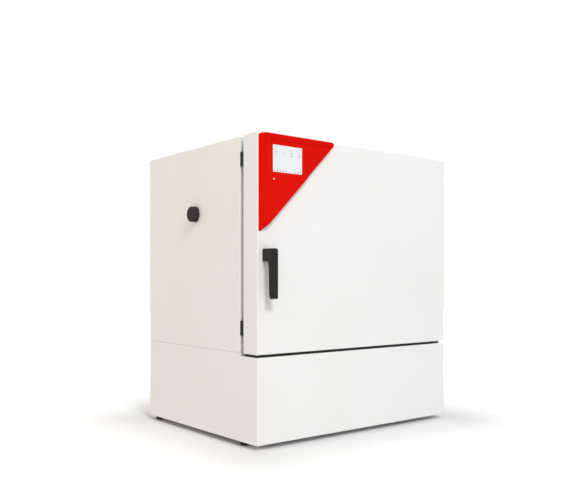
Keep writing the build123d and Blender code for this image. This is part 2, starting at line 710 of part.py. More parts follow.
# Keepers of the latch on the cabinet's flange
keeper_width = 24.0
keeper_height = 42.0
keeper_inset = 1.0
keeper_gap = 0.3
keeper_wall = 5.0
keeper_lip = 4.0
keeper_back = 3.0
keeper_from_top = 67.5
keeper_from_seam = 74.0
lip_reach = 4.5
hook_gap = 0.4
hook_neck = 6.0
hook_nose = 10.0
hook_nose_depth = 7.0
hook_end_gap = 3.0
keeper_right_wall = 2.0
x_keeper = -half_width + keeper_inset
x_mouth_right = x_keeper + keeper_width - keeper_right_wall
z_keeper_upper = z_top - keeper_from_top
z_keeper_lower = z_seam + keeper_from_seam
mouth_high = keeper_height / 2 - keeper_wall - lip_reach
mouth_low = keeper_height / 2 - keeper_wall
y_hook_end = y_face - keeper_back - hook_end_gap
with BuildPart() as latch_keepers:
    for way, z_keeper in ((1, z_keeper_upper), (-1, z_keeper_lower)):
        block(x_keeper, x_keeper + keeper_width, y_door_back + keeper_gap, y_face, z_keeper - keeper_height / 2,
              z_keeper + keeper_height / 2)
        z0, z1 = sorted((z_keeper - way * mouth_low, z_keeper + way * mouth_high))
        block(x_keeper + keeper_wall, x_mouth_right, y_door_back, y_face - keeper_back, z0, z1, Mode.SUBTRACT)
        z0, z1 = sorted((z_keeper - way * mouth_low, z_keeper + way * (mouth_high + lip_reach)))
        block(x_keeper + keeper_wall, x_mouth_right, y_door_back + keeper_gap + keeper_lip,
              y_face - keeper_back, z0, z1, Mode.SUBTRACT)
save(latch_keepers, "latch_keepers")


def rack_tooth(z_tooth, way):
    """Outline of one rack tooth, pointing towards the pinion; way is 1 for the rack on the left."""
    x_pitch = spindle_x - way * (gear_radius + gear_spread)
    half = math.pi * gear_module / 4 - rack_thin
    tip = half - gear_module * math.tan(pressure)
    root = half + 1.25 * gear_module * math.tan(pressure)
    x_tip = x_pitch + way * gear_module
    x_root = x_pitch - way * 1.25 * gear_module
    return [(x_root, z_tooth - root), (x_tip, z_tooth - tip), (x_tip, z_tooth + tip), (x_root, z_tooth + root)]


def tooth_outline():
    """Outline of one pinion tooth along the sketch's x, with involute flanks."""
    root_sink = 0.3
    base = gear_radius * math.cos(pressure)
    tip_radius = gear_radius + gear_module
    root_radius = gear_radius - 1.25 * gear_module
    half_angle = math.pi / (2 * gear_teeth) - pinion_thin / gear_radius
    half_angle = half_angle + math.tan(pressure) - pressure
    flank = [(root_radius - root_sink, half_angle)]
    steps = 4
    for step in range(steps + 1):
        radius = base + (tip_radius - base) * step / steps
        roll = math.sqrt(max(0.0, (radius / base) ** 2 - 1))
        flank.append((radius, half_angle - (roll - math.atan(roll))))
    upper = [(r * math.cos(a), r * math.sin(a)) for r, a in flank]
    lower = [(r * math.cos(a), -r * math.sin(a)) for r, a in reversed(flank)]
    return upper + lower


# Upper rod: rack at the left of the pinion, straight bar up to its hook
rack_spare = 13.0
rack_idle = 12.0
idle_teeth = 4
upper_rack_low = spindle_z - rack_spare
upper_rack_high = spindle_z + rod_travel + rack_idle
x_rod_inner = x_rod_outer + rod_web
z_upper_hook = z_keeper_upper + mouth_high - hook_gap
with BuildPart() as latch_rod_upper:
    with BuildSketch(upright(y_gear_back)):
        rect(x_rod_outer, x_rod_inner, upper_rack_low, z_upper_hook)
        teeth = math.ceil((upper_rack_high - spindle_z) / (math.pi * gear_module))
        for tooth in range(-idle_teeth, teeth):
            z_tooth = spindle_z + (tooth + 0.5) * math.pi * gear_module
            with BuildLine():
                Polyline(*rack_tooth(z_tooth, 1), close=True)
            make_face()
    extrude(amount=gear_width)
    with BuildSketch(across(x_rod_outer)):
        rect(y_gear_front, y_hook_end, z_upper_hook - hook_nose, z_upper_hook - hook_nose + hook_neck)
        rect(y_hook_end - hook_nose_depth, y_hook_end, z_upper_hook - hook_nose, z_upper_hook)
    extrude(amount=rod_web)
save(latch_rod_upper, "latch_rod_upper")

# Lower rod: rack at the right of the pinion, cranked bar down to its hook
crank_from_spindle = 45.0
crank_length = 34.0
lower_rack_low = spindle_z - rod_travel - rack_idle
lower_rack_high = spindle_z + rack_spare
x_lower_outer = 2 * spindle_x - x_rod_outer
x_lower_inner = x_lower_outer - rod_web
z_crank_top = spindle_z - crank_from_spindle
z_crank_low = z_crank_top - crank_length
z_lower_hook = z_keeper_lower - mouth_high + hook_gap
with BuildPart() as latch_rod_lower:
    with BuildSketch(upright(y_gear_back)):
        rect(x_lower_inner, x_lower_outer, z_crank_top, lower_rack_high)
        teeth = math.ceil((spindle_z - lower_rack_low) / (math.pi * gear_module))
        for tooth in range(-teeth, idle_teeth):
            z_tooth = spindle_z + (tooth + 0.5) * math.pi * gear_module
            with BuildLine():
                Polyline(*rack_tooth(z_tooth, -1), close=True)
            make_face()
        with BuildLine():
            Polyline((x_lower_inner, z_crank_top), (x_lower_outer, z_crank_top), (x_rod_inner, z_crank_low),
                     (x_rod_outer, z_crank_low), close=True)
        make_face()
        rect(x_rod_outer, x_rod_inner, z_lower_hook, z_crank_low)
    extrude(amount=gear_width)
    with BuildSketch(across(x_rod_outer)):
        rect(y_gear_front, y_hook_end, z_lower_hook + hook_nose - hook_neck, z_lower_hook + hook_nose)
        rect(y_hook_end - hook_nose_depth, y_hook_end, z_lower_hook, z_lower_hook + hook_nose)
    extrude(amount=rod_web)
save(latch_rod_lower, "latch_rod_lower")

# Handle spindle: square in the handle and the pinion, round in the bearings of the case
spindle_in_handle = 22.0
spindle_end_gap = 1.0
handle_gap = 0.6
y_handle_back = y_front - handle_gap
y_case_front = y_gear_front - slide_fit - case_front_wall
y_case_back = y_gear_back + slide_fit + case_back_wall
with BuildPart() as handle_spindle:
    with BuildSketch(upright(y_handle_back)):
        with Locations((spindle_x, spindle_z)):
            Rectangle(square, square)
    extrude(amount=spindle_in_handle)
    deep_rod(spindle_x, spindle_z, y_handle_back, y_gear_front, spindle_radius)
    with BuildSketch(upright(y_gear_back)):
        with Locations((spindle_x, spindle_z)):
            Rectangle(square, square)
    extrude(amount=gear_width)
    deep_rod(spindle_x, spindle_z, y_gear_back, y_case_back - spindle_end_gap, spindle_end_radius)
save(handle_spindle, "handle_spindle")

with BuildPart() as latch_pinion:
    with BuildSketch(upright(y_gear_back)):
        with Locations((spindle_x, spindle_z)):
            Circle(gear_radius - 1.25 * gear_module)
            with PolarLocations(0, gear_teeth):
                Polygon(*tooth_outline(), align=None)
            Rectangle(square, square, mode=Mode.SUBTRACT)
    extrude(amount=gear_width)
save(latch_pinion, "latch_pinion")

# Lock case: a block with a flat channel for the racks and two bearings, on pillars from the door's skin
case_corner = 4.0
pillar_inset = 6.0
pillar_radius = 4.0
with BuildPart() as lock_case:
    block(spindle_x - case_half_width, spindle_x + case_half_width, y_case_front, y_case_back,
          spindle_z - case_half_height, spindle_z + case_half_height)
    fillet(lock_case.edges().filter_by(Axis.Y), case_corner)
    block(x_rod_outer - slide_fit, x_lower_outer + slide_fit, y_gear_front - slide_fit, y_gear_back + slide_fit,
          spindle_z - case_half_height, spindle_z + case_half_height, Mode.SUBTRACT)
    deep_rod(spindle_x, spindle_z, y_case_front, y_gear_front, spindle_radius + spindle_fit, Mode.SUBTRACT)
    deep_rod(spindle_x, spindle_z, y_gear_back, y_case_back, spindle_end_radius + spindle_fit, Mode.SUBTRACT)
    with BuildSketch(upright(y_case_front)):
        with Locations((spindle_x, spindle_z)):
            with GridLocations(2 * (case_half_width - pillar_inset),
                               2 * (case_half_height - pillar_inset), 2, 2):
                Circle(pillar_radius)
    extrude(amount=y_case_front - y_front - sheet)
save(lock_case, "lock_case")

# Rod guides: forked blocks on the door's skin
guide_height = 12.0
guide_margin = 6.0
guide_lip = 5.0
guide_from_spindle = 115.0
guide_from_keeper = 50.0
guide_levels = (spindle_z + guide_from_spindle, z_keeper_upper - guide_from_keeper,
                z_keeper_lower + guide_from_keeper, spindle_z - guide_from_spindle)
with BuildPart() as rod_guides:
    for z_guide in guide_levels:
        block(x_rod_outer - guide_margin, x_rod_inner + guide_margin, y_front + sheet, y_gear_back + guide_lip,
              z_guide - guide_height / 2, z_guide + guide_height / 2)
        block(x_rod_outer - slide_fit, x_rod_inner + slide_fit, y_gear_front - slide_fit,
              y_gear_back + guide_lip, z_guide - guide_height / 2, z_guide + guide_height / 2, Mode.SUBTRACT)
save(rod_guides, "rod_guides")

# Door handle: a lever with its boss at the top and its grip hanging down
handle_half_width = 13.0
handle_above = 19.0
handle_boss_below = 18.0
handle_below = 127.0
grip_thickness = 15.5
handle_round = 9.0
handle_edge = 2.0
handle_inner = 5.0
tip_taper = 6.5
tip_taper_height = 16.0
y_grip_front = y_front - handle_out
y_grip_back = y_grip_front + grip_thickness
z_handle_top = spindle_z + handle_above
z_handle_low = spindle_z - handle_below
z_boss_low = spindle_z - handle_boss_below
with BuildPart() as door_handle:
    with BuildSketch(across(spindle_x - handle_half_width)) as lever_side:
        with BuildLine():
            Polyline((y_handle_back, z_handle_top), (y_handle_back, z_boss_low), (y_grip_back, z_boss_low),
                     (y_grip_back, z_handle_low + tip_taper_height), (y_grip_back - tip_taper, z_handle_low),
                     (y_grip_front, z_handle_low), (y_grip_front, z_handle_top), close=True)
        make_face()
        fillet(lever_side.vertices().sort_by_distance((y_grip_front, z_handle_top))[0], handle_round)
        fillet(lever_side.vertices().sort_by_distance((y_grip_back, z_boss_low))[0], handle_inner)
    extrude(amount=2 * handle_half_width)
    chamfer(door_handle.faces().sort_by(Axis.X)[-1].edges(), handle_edge)
    chamfer(door_handle.faces().sort_by(Axis.X)[0].edges(), handle_edge)
    with BuildSketch(upright(y_handle_back)):
        with Locations((spindle_x, spindle_z)):
            Rectangle(square, square)
    extrude(amount=spindle_in_handle, mode=Mode.SUBTRACT)
save(door_handle, "door_handle")

# Outer door: folded skin
channel_width = 50.0
pocket_side_clear = 1.5
pocket_front_clear = 21.0
cable_from_side = 90.0
cable_from_top = 50.0
cable_radius = 6.0
spindle_clear = 1.0
x_foam_left = -half_width + sheet + channel_width
x_pocket = hinge_x - arm_half_width - pocket_side_clear
y_pocket = hinge_y - pocket_front_clear
cable_x = -half_width + cable_from_side
cable_z = z_top - cable_from_top
with BuildPart() as door_skin:
    with BuildSketch(upright(y_door_back)):
        rect(-half_width, half_width, z_door, z_top)
    extrude(amount=door_thickness)
    fillet(door_skin.faces().sort_by(Axis.Y)[0].edges(), edge_radius)
    block(-half_width + sheet, half_width - sheet, y_front + sheet, y_door_back + sheet, z_door + sheet,
          z_top - sheet, Mode.SUBTRACT)
    deep_rod(spindle_x, spindle_z, y_front - sheet, y_front + 2 * sheet, spindle_radius + spindle_clear,
             Mode.SUBTRACT)
    deep_rod(cable_x, cable_z, y_front - sheet, y_front + 2 * sheet, cable_radius, Mode.SUBTRACT)
    block(half_width - 2 * sheet, half_width + sheet, y_pocket, y_door_back, z_pocket, z_top - sheet,
          Mode.SUBTRACT)
    upright_rod(hinge_x, hinge_y, z_door - sheet, z_door + 2 * sheet, bush_radius, Mode.SUBTRACT)
save(door_skin, "door_skin")

# Inner liner of the door: a moulded sheet with a raised field inside the gasket
liner_thickness = 2.0
field_height = 5.0
field_margin = 2.0
half_field = half_recess + field_margin
half_field_height = half_recess_height + field_margin
half_pan = half_field - liner_thickness
half_pan_height = half_field_height - liner_thickness
pan_corner = chamber_corner - liner_thickness
slot_side = 4.0
slot_end = 2.0
y_liner = y_door_back - liner_thickness
with BuildPart() as door_liner:
    with BuildSketch(upright(y_door_back)):
        rect(-half_width + sheet, half_width - sheet, z_door + sheet, z_top - sheet)
    extrude(amount=liner_thickness)
    with BuildSketch(upright(y_liner)):
        ring(half_field, half_field_height, chamber_corner)
    extrude(amount=-(liner_thickness + field_height))
    with BuildSketch(upright(y_liner)):
        ring(half_pan, half_pan_height, pan_corner)
    extrude(amount=-field_height, mode=Mode.SUBTRACT)
    for z0, z1 in ((z_upper_hook - hook_nose - rod_travel - slot_end, z_upper_hook + slot_end),
                   (z_lower_hook - slot_end, z_lower_hook + hook_nose + rod_travel + slot_end)):
        block(x_rod_outer - slot_side, x_rod_inner + slot_side, y_liner, y_door_back, z0, z1, Mode.SUBTRACT)
    block(x_pocket, half_width, y_liner, y_door_back, z_pocket, z_top - sheet, Mode.SUBTRACT)
save(door_liner, "door_liner")

# Foam of the door, right of the latch channel
with BuildPart() as door_insulation:
    block(x_foam_left, half_width - sheet, y_front + sheet, y_liner, z_door + sheet, z_top - sheet)
    chamfer(door_insulation.edges().filter_by(Axis.Z).group_by(Axis.Y)[0].sort_by(Axis.X)[-1], edge_radius)
    chamfer(door_insulation.edges().filter_by(Axis.X).group_by(Axis.Y)[0], edge_radius)
    with BuildSketch(upright(y_liner)):
        rect(x_foam_left, half_pan, z_mid - half_pan_height, z_mid + half_pan_height)
        ring(half_pan, half_pan_height, pan_corner, Mode.INTERSECT)
    extrude(amount=-field_height)
    block(x_pocket, half_width, y_pocket, y_door_back, z_pocket, z_top, Mode.SUBTRACT)
    upright_rod(hinge_x, hinge_y, z_door, z_door + bush_length, bush_radius, Mode.SUBTRACT)
    upright_rod(hinge_x, hinge_y, z_pocket - bush_length, z_pocket, bush_radius, Mode.SUBTRACT)
save(door_insulation, "door_insulation")

# Gasket of the door: a closed ring in front of the flange, 0.3 mm clear of it
gasket_inset = 4.0
gasket_width = 22.0
gasket_gap = 0.3
gasket_corner = 10.0
gasket_inner_corner = 6.0
gasket_edge = 4.0
with BuildPart() as door_gasket:
    with BuildSketch(upright(y_door_back)):
        ring(half_recess + gasket_inset + gasket_width, half_recess_height + gasket_inset + gasket_width,
             gasket_corner)
        ring(half_recess + gasket_inset, half_recess_height + gasket_inset, gasket_inner_corner, Mode.SUBTRACT)
    extrude(amount=-(door_gap - gasket_gap))
    chamfer(door_gasket.faces().sort_by(Axis.Y)[-1].edges(), gasket_edge)
save(door_gasket, "door_gasket")

# Control housing: a moulded right-angled triangle with a bevelled left edge, a bevelled tip and a sunk field
housing_side = 4.0
housing_top = 2.0
housing_leg = 289.0
housing_depth = 20.0
housing_corner = 9.0
housing_tip_corner = 3.0
housing_wall = 2.5
side_bevel = 13.0
side_bevel_start = 5.0
tip_bevel_from = 33.0
tip_bevel_rise = 17.0
tip_bevel_run = 26.0
x_housing = -half_width + housing_side
z_housing = z_top - housing_top
y_housing = y_front - housing_depth
recess_drop = 3.5
field_left = 19.0
field_top = 13.0
field_bottom = 119.0
field_slope_left = 11.0
field_slope = 6.0
field_past = 40.0
y_field = y_housing + recess_drop
x_field = x_housing + field_left
x_field_right = x_housing + housing_leg + field_past
z_field_low = z_housing - field_bottom
z_field_top = z_housing - field_top

# Display and its window in the sunk field
display_width = 110.0
display_height = 79.0
display_left = 40.0
display_top = 31.5
display_window_fit = 0.2
display_glass = 2.5
display_rim = 4.0
display_module = 6.0
display_corner = 1.5
window_back = 8.0
half_display = display_width / 2
half_display_height = display_height / 2
x_display = x_housing + display_left + half_display
z_display = z_housing - display_top - half_display_height
led_from_side = 41.5
led_from_top = 132.0
led_radius = 2.0
led_fit = 0.1
led_x = x_housing + led_from_side
led_z = z_housing - led_from_top

# Thin cover on the slanted edge, over the service port
cover_length = 62.0
cover_width = 9.0
cover_thickness = 2.0
cover_proud = 0.8
cover_out = 5.0
cover_pin_radius = 0.9
cover_pin_length = 2.0
cover_pin_depth = 0.2
cover_centre = 176.0
cover_gap = 0.3
cover_lip = 1.3
cover_seat_depth = 4.2
cover_frame = 8.0
cover_frame_inner = 12.0
cover_frame_outer = 1.0
port_width = 15.0
port_height = 6.0
port_depth = 14.0
slant = Plane(origin=(x_housing + cover_centre, y_front, z_housing - housing_leg + cover_centre),
              x_dir=(1, 0, 1), z_dir=(1, 0, -1))


def housing_body(inset):
    """Solid of the housing, or of its hollow when inset by the wall."""
    with BuildPart() as body:
        with BuildSketch(upright(y_front)) as outline:
            with BuildLine():
                Polyline((x_housing, z_housing), (x_housing + housing_leg, z_housing),
                         (x_housing, z_housing - housing_leg), close=True)
            make_face()
            fillet(outline.vertices().sort_by(Axis.Y)[0], housing_tip_corner)
            fillet(outline.vertices().sort_by(Axis.Y)[-2:], housing_corner)
            if inset > 0:
                offset(amount=-inset, kind=Kind.INTERSECTION)
        extrude(amount=housing_depth - (inset + recess_drop if inset > 0 else 0))
        side_normal = Vector(side_bevel_start - housing_depth, -side_bevel, 0).normalized()
        side_point = Vector(x_housing, y_front - side_bevel_start, z_housing) - side_normal * inset
        split(bisect_by=Plane(origin=side_point, z_dir=side_normal), keep=Keep.BOTTOM)
        down = Vector(-math.sin(math.radians(22.5)), 0, -math.cos(math.radians(22.5)))
        crease = Vector(x_housing, y_front - housing_depth, z_housing - housing_leg) - down * tip_bevel_from
        tip_normal = (down * tip_bevel_rise + Vector(0, -1, 0) * tip_bevel_run).normalized()
        split(bisect_by=Plane(origin=crease - tip_normal * inset, z_dir=tip_normal), keep=Keep.BOTTOM)
    return body.part


housing_solid = housing_body(0)
housing_hollow = housing_body(housing_wall)
with BuildPart() as control_housing:
    add(housing_solid)
    add(housing_hollow, mode=Mode.SUBTRACT)
    with BuildSketch(slant.offset(-cover_frame_inner)):
        with Locations((0, cover_frame)):
            Rectangle(cover_length + cover_frame, 2 * cover_frame)
    extrude(amount=cover_frame_inner - cover_frame_outer)
    with BuildSketch(upright(y_housing)):
        rect(x_field, x_field_right, z_field_low, z_field_top)
    with BuildSketch(upright(y_field)):
        rect(x_field + field_slope_left, x_field_right, z_field_low + field_slope, z_field_top - field_slope)
    loft(mode=Mode.SUBTRACT)
    half_window = half_display + display_window_fit
    half_window_height = half_display_height + display_window_fit
    block(x_display - half_window, x_display + half_window, y_housing, y_front - window_back,
          z_display - half_window_height, z_display + half_window_height, Mode.SUBTRACT)
    deep_rod(led_x, led_z, y_housing, y_front - window_back, led_radius + led_fit, Mode.SUBTRACT)
    with BuildSketch(slant.offset(cover_frame_outer)):
        with Locations((0, cover_out + (cover_width + cover_gap - cover_lip) / 2)):
            Rectangle(cover_length + 2 * cover_gap, cover_width + cover_gap + cover_lip)
    extrude(amount=-cover_seat_depth, mode=Mode.SUBTRACT)
    with BuildSketch(slant):
        with Locations((0, cover_out + cover_width / 2)):
            RectangleRounded(port_width, port_height, 1)
    extrude(amount=-port_depth, mode=Mode.SUBTRACT)
    for end in (-1, 1):
        pin_start = slant.from_local_coords((end * cover_length / 2, cover_out, -cover_pin_depth))
        with BuildSketch(Plane(origin=pin_start, x_dir=slant.y_dir, z_dir=slant.x_dir)):
            Circle(cover_pin_radius + running_fit)
        extrude(amount=end * (cover_pin_length + 2 * cover_gap), mode=Mode.SUBTRACT)
save(control_housing, "control_housing")

# Service cover: a thin flap that swings on two end pins
with BuildPart() as service_cover:
    with BuildSketch(slant.offset(-cover_thickness + cover_proud)):
        with Locations((0, cover_out + cover_width / 2)):
            Rectangle(cover_length, cover_width)
    extrude(amount=cover_thickness)
    with BuildSketch(Plane(origin=slant.from_local_coords((0, cover_out, -cover_pin_depth)), x_dir=slant.y_dir,
                           z_dir=slant.x_dir)):
        Circle(cover_thickness / 2)
    extrude(amount=cover_length / 2, both=True)
    with BuildSketch(Plane(origin=slant.from_local_coords((0, cover_out, -cover_pin_depth)), x_dir=slant.y_dir,
                           z_dir=slant.x_dir)):
        Circle(cover_pin_radius)
    extrude(amount=cover_length / 2 + cover_pin_length, both=True)
save(service_cover, "service_cover")

# Display: glass in the window, on a broader module behind the field
with BuildPart() as control_display:
    with BuildSketch(upright(y_field + display_glass)):
        rect(x_display - half_display, x_display + half_display, z_display - half_display_height,
             z_display + half_display_height, display_corner)
    extrude(amount=display_glass)
    with BuildSketch(upright(y_field + display_glass + display_module)):
        rect(x_display - half_display - display_rim, x_display + half_display + display_rim,
             z_display - half_display_height - display_rim, z_display + half_display_height + display_rim)
    extrude(amount=display_module)
save(control_display, "control_display")

# Status light in the housing's front, standing on the board
board_sheet = 1.6
led_foot = 3.0
led_proud = 0.5
led_edge = 0.6
with BuildPart() as status_led:
    deep_rod(led_x, led_z, y_housing - led_proud, y_front - led_foot - board_sheet, led_radius)
    chamfer(status_led.faces().sort_by(Axis.Y)[0].edges(), led_edge)
save(status_led, "status_led")

# Control board behind the display, with its service port at the slanted edge
board_out = 2.5
board_left = x_display - 50.0
board_right = x_display + 62.0
board_low = led_z - 8.0
board_high = z_display + 34.0
board_edge = 16.0
chip_left = 30.0
chip_right = 10.0
chip_half_height = 20.0
socket_width_inside = 14.0
socket_width_outside = 12.0
socket_thickness = 4.6
board_step = z_housing - housing_leg - x_housing + math.sqrt(2) * board_edge
socket_back = 20.0
socket_front = 4.5
with BuildPart() as control_board:
    with BuildSketch(upright(y_front - board_out)):
        with BuildLine():
            Polyline((board_left, board_low), (board_low - board_step, board_low),
                     (board_right, board_right + board_step), (board_right, board_high),
                     (board_left, board_high), close=True)
        make_face()
    extrude(amount=board_sheet)
    block(x_display - chip_left, x_display + chip_right, y_field + display_glass + display_module,
          y_front - board_out - board_sheet, z_display - chip_half_height, z_display + chip_half_height)
    deep_rod(led_x, led_z, y_front - led_foot - board_sheet, y_front - board_out - board_sheet, led_radius)
    with BuildSketch(slant.offset(-socket_back)):
        with Locations((0, (cover_out + cover_width / 2 + board_out + board_sheet) / 2 + 1)):
            Rectangle(socket_width_inside, cover_out + cover_width / 2 - board_out - board_sheet + 2)
    extrude(amount=socket_back - board_edge + 1)
    with BuildSketch(slant.offset(-socket_back)):
        with Locations((0, cover_out + cover_width / 2)):
            Rectangle(socket_width_outside, socket_thickness)
    extrude(amount=socket_back - socket_front)
save(control_board, "control_board")

# Base shell: front wall and both sides, with an inward flange under the cabinet
base_flange = 24.0
with BuildPart() as base_shell:
    with BuildSketch(level(z_bottom)):
        rect(-half_width, half_width, y_face, y_back)
        rect(-half_width + sheet, half_width - sheet, y_face + sheet, y_back + sheet, mode=Mode.SUBTRACT)
    extrude(amount=base_height)
    with BuildSketch(level(z_seam)):
        rect(-half_width, half_width, y_face, y_back)
        rect(-half_width + base_flange, half_width - base_flange, y_face + base_flange, y_back + sheet,
             mode=Mode.SUBTRACT)
    extrude(amount=-sheet)
save(base_shell, "base_shell")

# Front cover of the base: a deep folded cover, open at its back
block_clear = 1.0
with BuildPart() as base_front_cover:
    with BuildSketch(upright(y_face)):
        rect(-half_width, half_width, z_bottom, z_cover_top)
    extrude(amount=y_face - y_front)
    fillet(base_front_cover.faces().sort_by(Axis.Y)[0].edges(), edge_radius)
    block(-half_width + sheet, half_width - sheet, y_front + sheet, y_face + sheet, z_bottom + sheet,
          z_cover_top - sheet, Mode.SUBTRACT)
    block(hinge_x - half_block - block_clear, hinge_x + half_block + block_clear,
          hinge_y - half_block - block_clear, hinge_y + half_block + block_clear,
          z_cover_top - 2 * sheet, z_cover_top + sheet, Mode.SUBTRACT)
save(base_front_cover, "base_front_cover")

# Thin rubber strip on the cover, in the slot under the door
strip_left = 2.0
strip_right = 64.0
strip_front = 3.0
strip_back = 2.0
strip_gap = 1.4
with BuildPart() as gap_strip:
    block(-half_width + strip_left, half_width - strip_right, y_front + strip_front, y_door_back - strip_back,
          z_cover_top, z_door - strip_gap)
save(gap_strip, "gap_strip")

# Chassis tray of the base, with a threaded boss for each foot
chassis_sheet = 2.0
chassis_lip = 14.0
foot_inset = 28.0
foot_front = 100.0
foot_rear = 25.0
stud_radius = 5.0
boss_radius = 9.0
boss_height = 14.0
stud_fit = 0.08
foot_spots = ((-half_width + foot_inset, y_front + foot_front), (half_width - foot_inset, y_front + foot_front),
              (-half_width + foot_inset, y_back - foot_rear), (half_width - foot_inset, y_back - foot_rear))
with BuildPart() as base_chassis:
    with BuildSketch(level(z_bottom)):
        rect(-half_width + sheet + fit, half_width - sheet - fit, y_face + sheet + fit, y_back - fit)
    extrude(amount=chassis_lip)
    offset(amount=-chassis_sheet, openings=base_chassis.faces().sort_by(Axis.Z)[-1], kind=Kind.INTERSECTION)
    block(-half_width, half_width, y_rear - grille_lip - fit, y_back, z_bottom + chassis_sheet,
          z_bottom + chassis_lip, Mode.SUBTRACT)
    with BuildSketch(level(z_bottom)):
        with Locations(*foot_spots):
            Circle(boss_radius)
    extrude(amount=boss_height)
    with BuildSketch(level(z_bottom)):
        with Locations(*foot_spots):
            Circle(stud_radius + stud_fit)
    extrude(amount=boss_height, mode=Mode.SUBTRACT)
save(base_chassis, "base_chassis")

# Levelling feet: a rubber-edged pad on a threaded stud
foot_radius = 14.5
foot_gap = 0.4
foot_top_edge = 2.0
foot_floor_edge = 1.0
stud_length = 12.0


def make_foot(label, spot):
    """Make the foot at one of the four places."""
    with BuildPart() as foot:
        with BuildSketch(level(0)):
            with Locations(spot):
                Circle(foot_radius)
        extrude(amount=foot_height - foot_gap)
        chamfer(foot.faces().sort_by(Axis.Z)[-1].edges(), foot_top_edge)
        chamfer(foot.faces().sort_by(Axis.Z)[0].edges(), foot_floor_edge)
        upright_rod(spot[0], spot[1], foot_height - foot_gap, foot_height + stud_length, stud_radius)
    save(foot, label)


foot_names = ("foot_front_left", "foot_front_right", "foot_rear_left", "foot_rear_right")
for label, spot in zip(foot_names, foot_spots):
    make_foot(label, spot)

# Rear grille of the base: a tray with slots behind the condenser and a hole for the mains inlet
grille_rows = 12
grille_pitch = 15.0
grille_slot = 105.0
grille_slot_gap = 15.0
grille_slot_width = 6.0
condenser_x = -110.0
condenser_z = z_bottom + base_height / 2 - 2.0
inlet_from_side = 167.0
inlet_x = half_width - inlet_from_side
inlet_z = condenser_z
inlet_corner = 3.0
inlet_width = 34.0
inlet_height = 62.0
inlet_flange = 4.0
with BuildPart() as base_rear_grille:
    with BuildSketch(upright(y_rear)):
        rect(-half_width + sheet + fit, half_width - sheet - fit, z_bottom + chassis_sheet + fit,
             z_seam - sheet - fit)
    extrude(amount=grille_lip)
    offset(amount=-sheet, openings=base_rear_grille.faces().sort_by(Axis.Y)[0], kind=Kind.INTERSECTION)
    with BuildSketch(upright(y_rear)):
        with Locations((condenser_x, condenser_z)):
            with GridLocations(grille_slot + grille_slot_gap, grille_pitch, 2, grille_rows):
                SlotOverall(grille_slot, grille_slot_width)
        with Locations((inlet_x, inlet_z)):
            Rectangle(inlet_width, inlet_height)
    extrude(amount=2 * sheet, mode=Mode.SUBTRACT)
save(base_rear_grille, "base_rear_grille")

# Mains inlet with its switch well: a moulded body with a flange, three blades and a well for the rocker
inlet_depth = 24.0
flange_thickness = 2.5
socket_width = 24.0
socket_height = 16.0
socket_depth = 15.0
socket_drop = 16.0
well_width = 22.0
well_half_height = 12.2
well_rise = 14.0
rocker_pivot_in = 4.0
rocker_pin_radius = 1.5
rocker_pin_length = 2.0
pin_hole_end = 0.5
blade_pitch = 7.0
blade_half_sheet = 1.0
blade_half_height = 2.0
blade_set = 5.0
y_flange = y_rear + flange_thickness
z_socket = inlet_z - socket_drop
z_rocker = inlet_z + well_rise
y_rocker = y_flange - rocker_pivot_in
with BuildPart() as mains_inlet:
    with BuildSketch(upright(y_flange)):
        with Locations((inlet_x, inlet_z)):
            RectangleRounded(inlet_width + 2 * inlet_flange, inlet_height + 2 * inlet_flange, inlet_corner)
    extrude(amount=flange_thickness)
    with BuildSketch(upright(y_rear)):
        with Locations((inlet_x, inlet_z)):
            Rectangle(inlet_width - 2 * fit, inlet_height - 2 * fit)
    extrude(amount=inlet_depth)
    with BuildSketch(upright(y_flange)):
        with Locations((inlet_x, z_socket)):
            Rectangle(socket_width, socket_height)
        with Locations((inlet_x, z_rocker)):
            Rectangle(well_width, 2 * well_half_height)
    extrude(amount=socket_depth, mode=Mode.SUBTRACT)
    for blade in (-1, 0, 1):
        x_blade = inlet_x + blade * blade_pitch
        z_blade = z_socket + blade_half_height * (1 - abs(blade))
        block(x_blade - blade_half_sheet, x_blade + blade_half_sheet, y_flange - socket_depth,
              y_flange - blade_set, z_blade - blade_half_height, z_blade + blade_half_height)
    cross_rod(y_rocker, z_rocker, inlet_x - well_width / 2 - rocker_pin_length - pin_hole_end,
              inlet_x + well_width / 2 + rocker_pin_length + pin_hole_end, rocker_pin_radius + running_fit,
              Mode.SUBTRACT)
save(mains_inlet, "mains_inlet")

# Rocker of the mains switch: two leaning faces on a cross pin, at rest with its lower half in
rocker_half = 10.4
rocker_tilt = 10.0
rocker_out = 3.2
rocker_in = 6.0
rocker_hollow = 1.6
rocker_side_gap = 0.4
rocker_shoulder = 2.0


def tilted(out, up):
    """Point of the rocker's side outline, turned to its rest position."""
    turn = math.radians(rocker_tilt)
    return (y_rocker + out * math.cos(turn) + up * math.sin(turn),
            z_rocker - out * math.sin(turn) + up * math.cos(turn))


with BuildPart() as power_switch:
    with BuildSketch(across(inlet_x - well_width / 2 + rocker_side_gap)):
        with BuildLine():
            Polyline(tilted(rocker_out + rocker_hollow, rocker_half), tilted(rocker_out, 0),
                     tilted(rocker_out + rocker_hollow, -rocker_half), tilted(-rocker_shoulder, -rocker_half),
                     tilted(-rocker_in, 0), tilted(-rocker_shoulder, rocker_half), close=True)
        make_face()
    extrude(amount=well_width - 2 * rocker_side_gap)
    cross_rod(y_rocker, z_rocker, inlet_x - well_width / 2 - rocker_pin_length,
              inlet_x + well_width / 2 + rocker_pin_length, rocker_pin_radius)
save(power_switch, "power_switch")

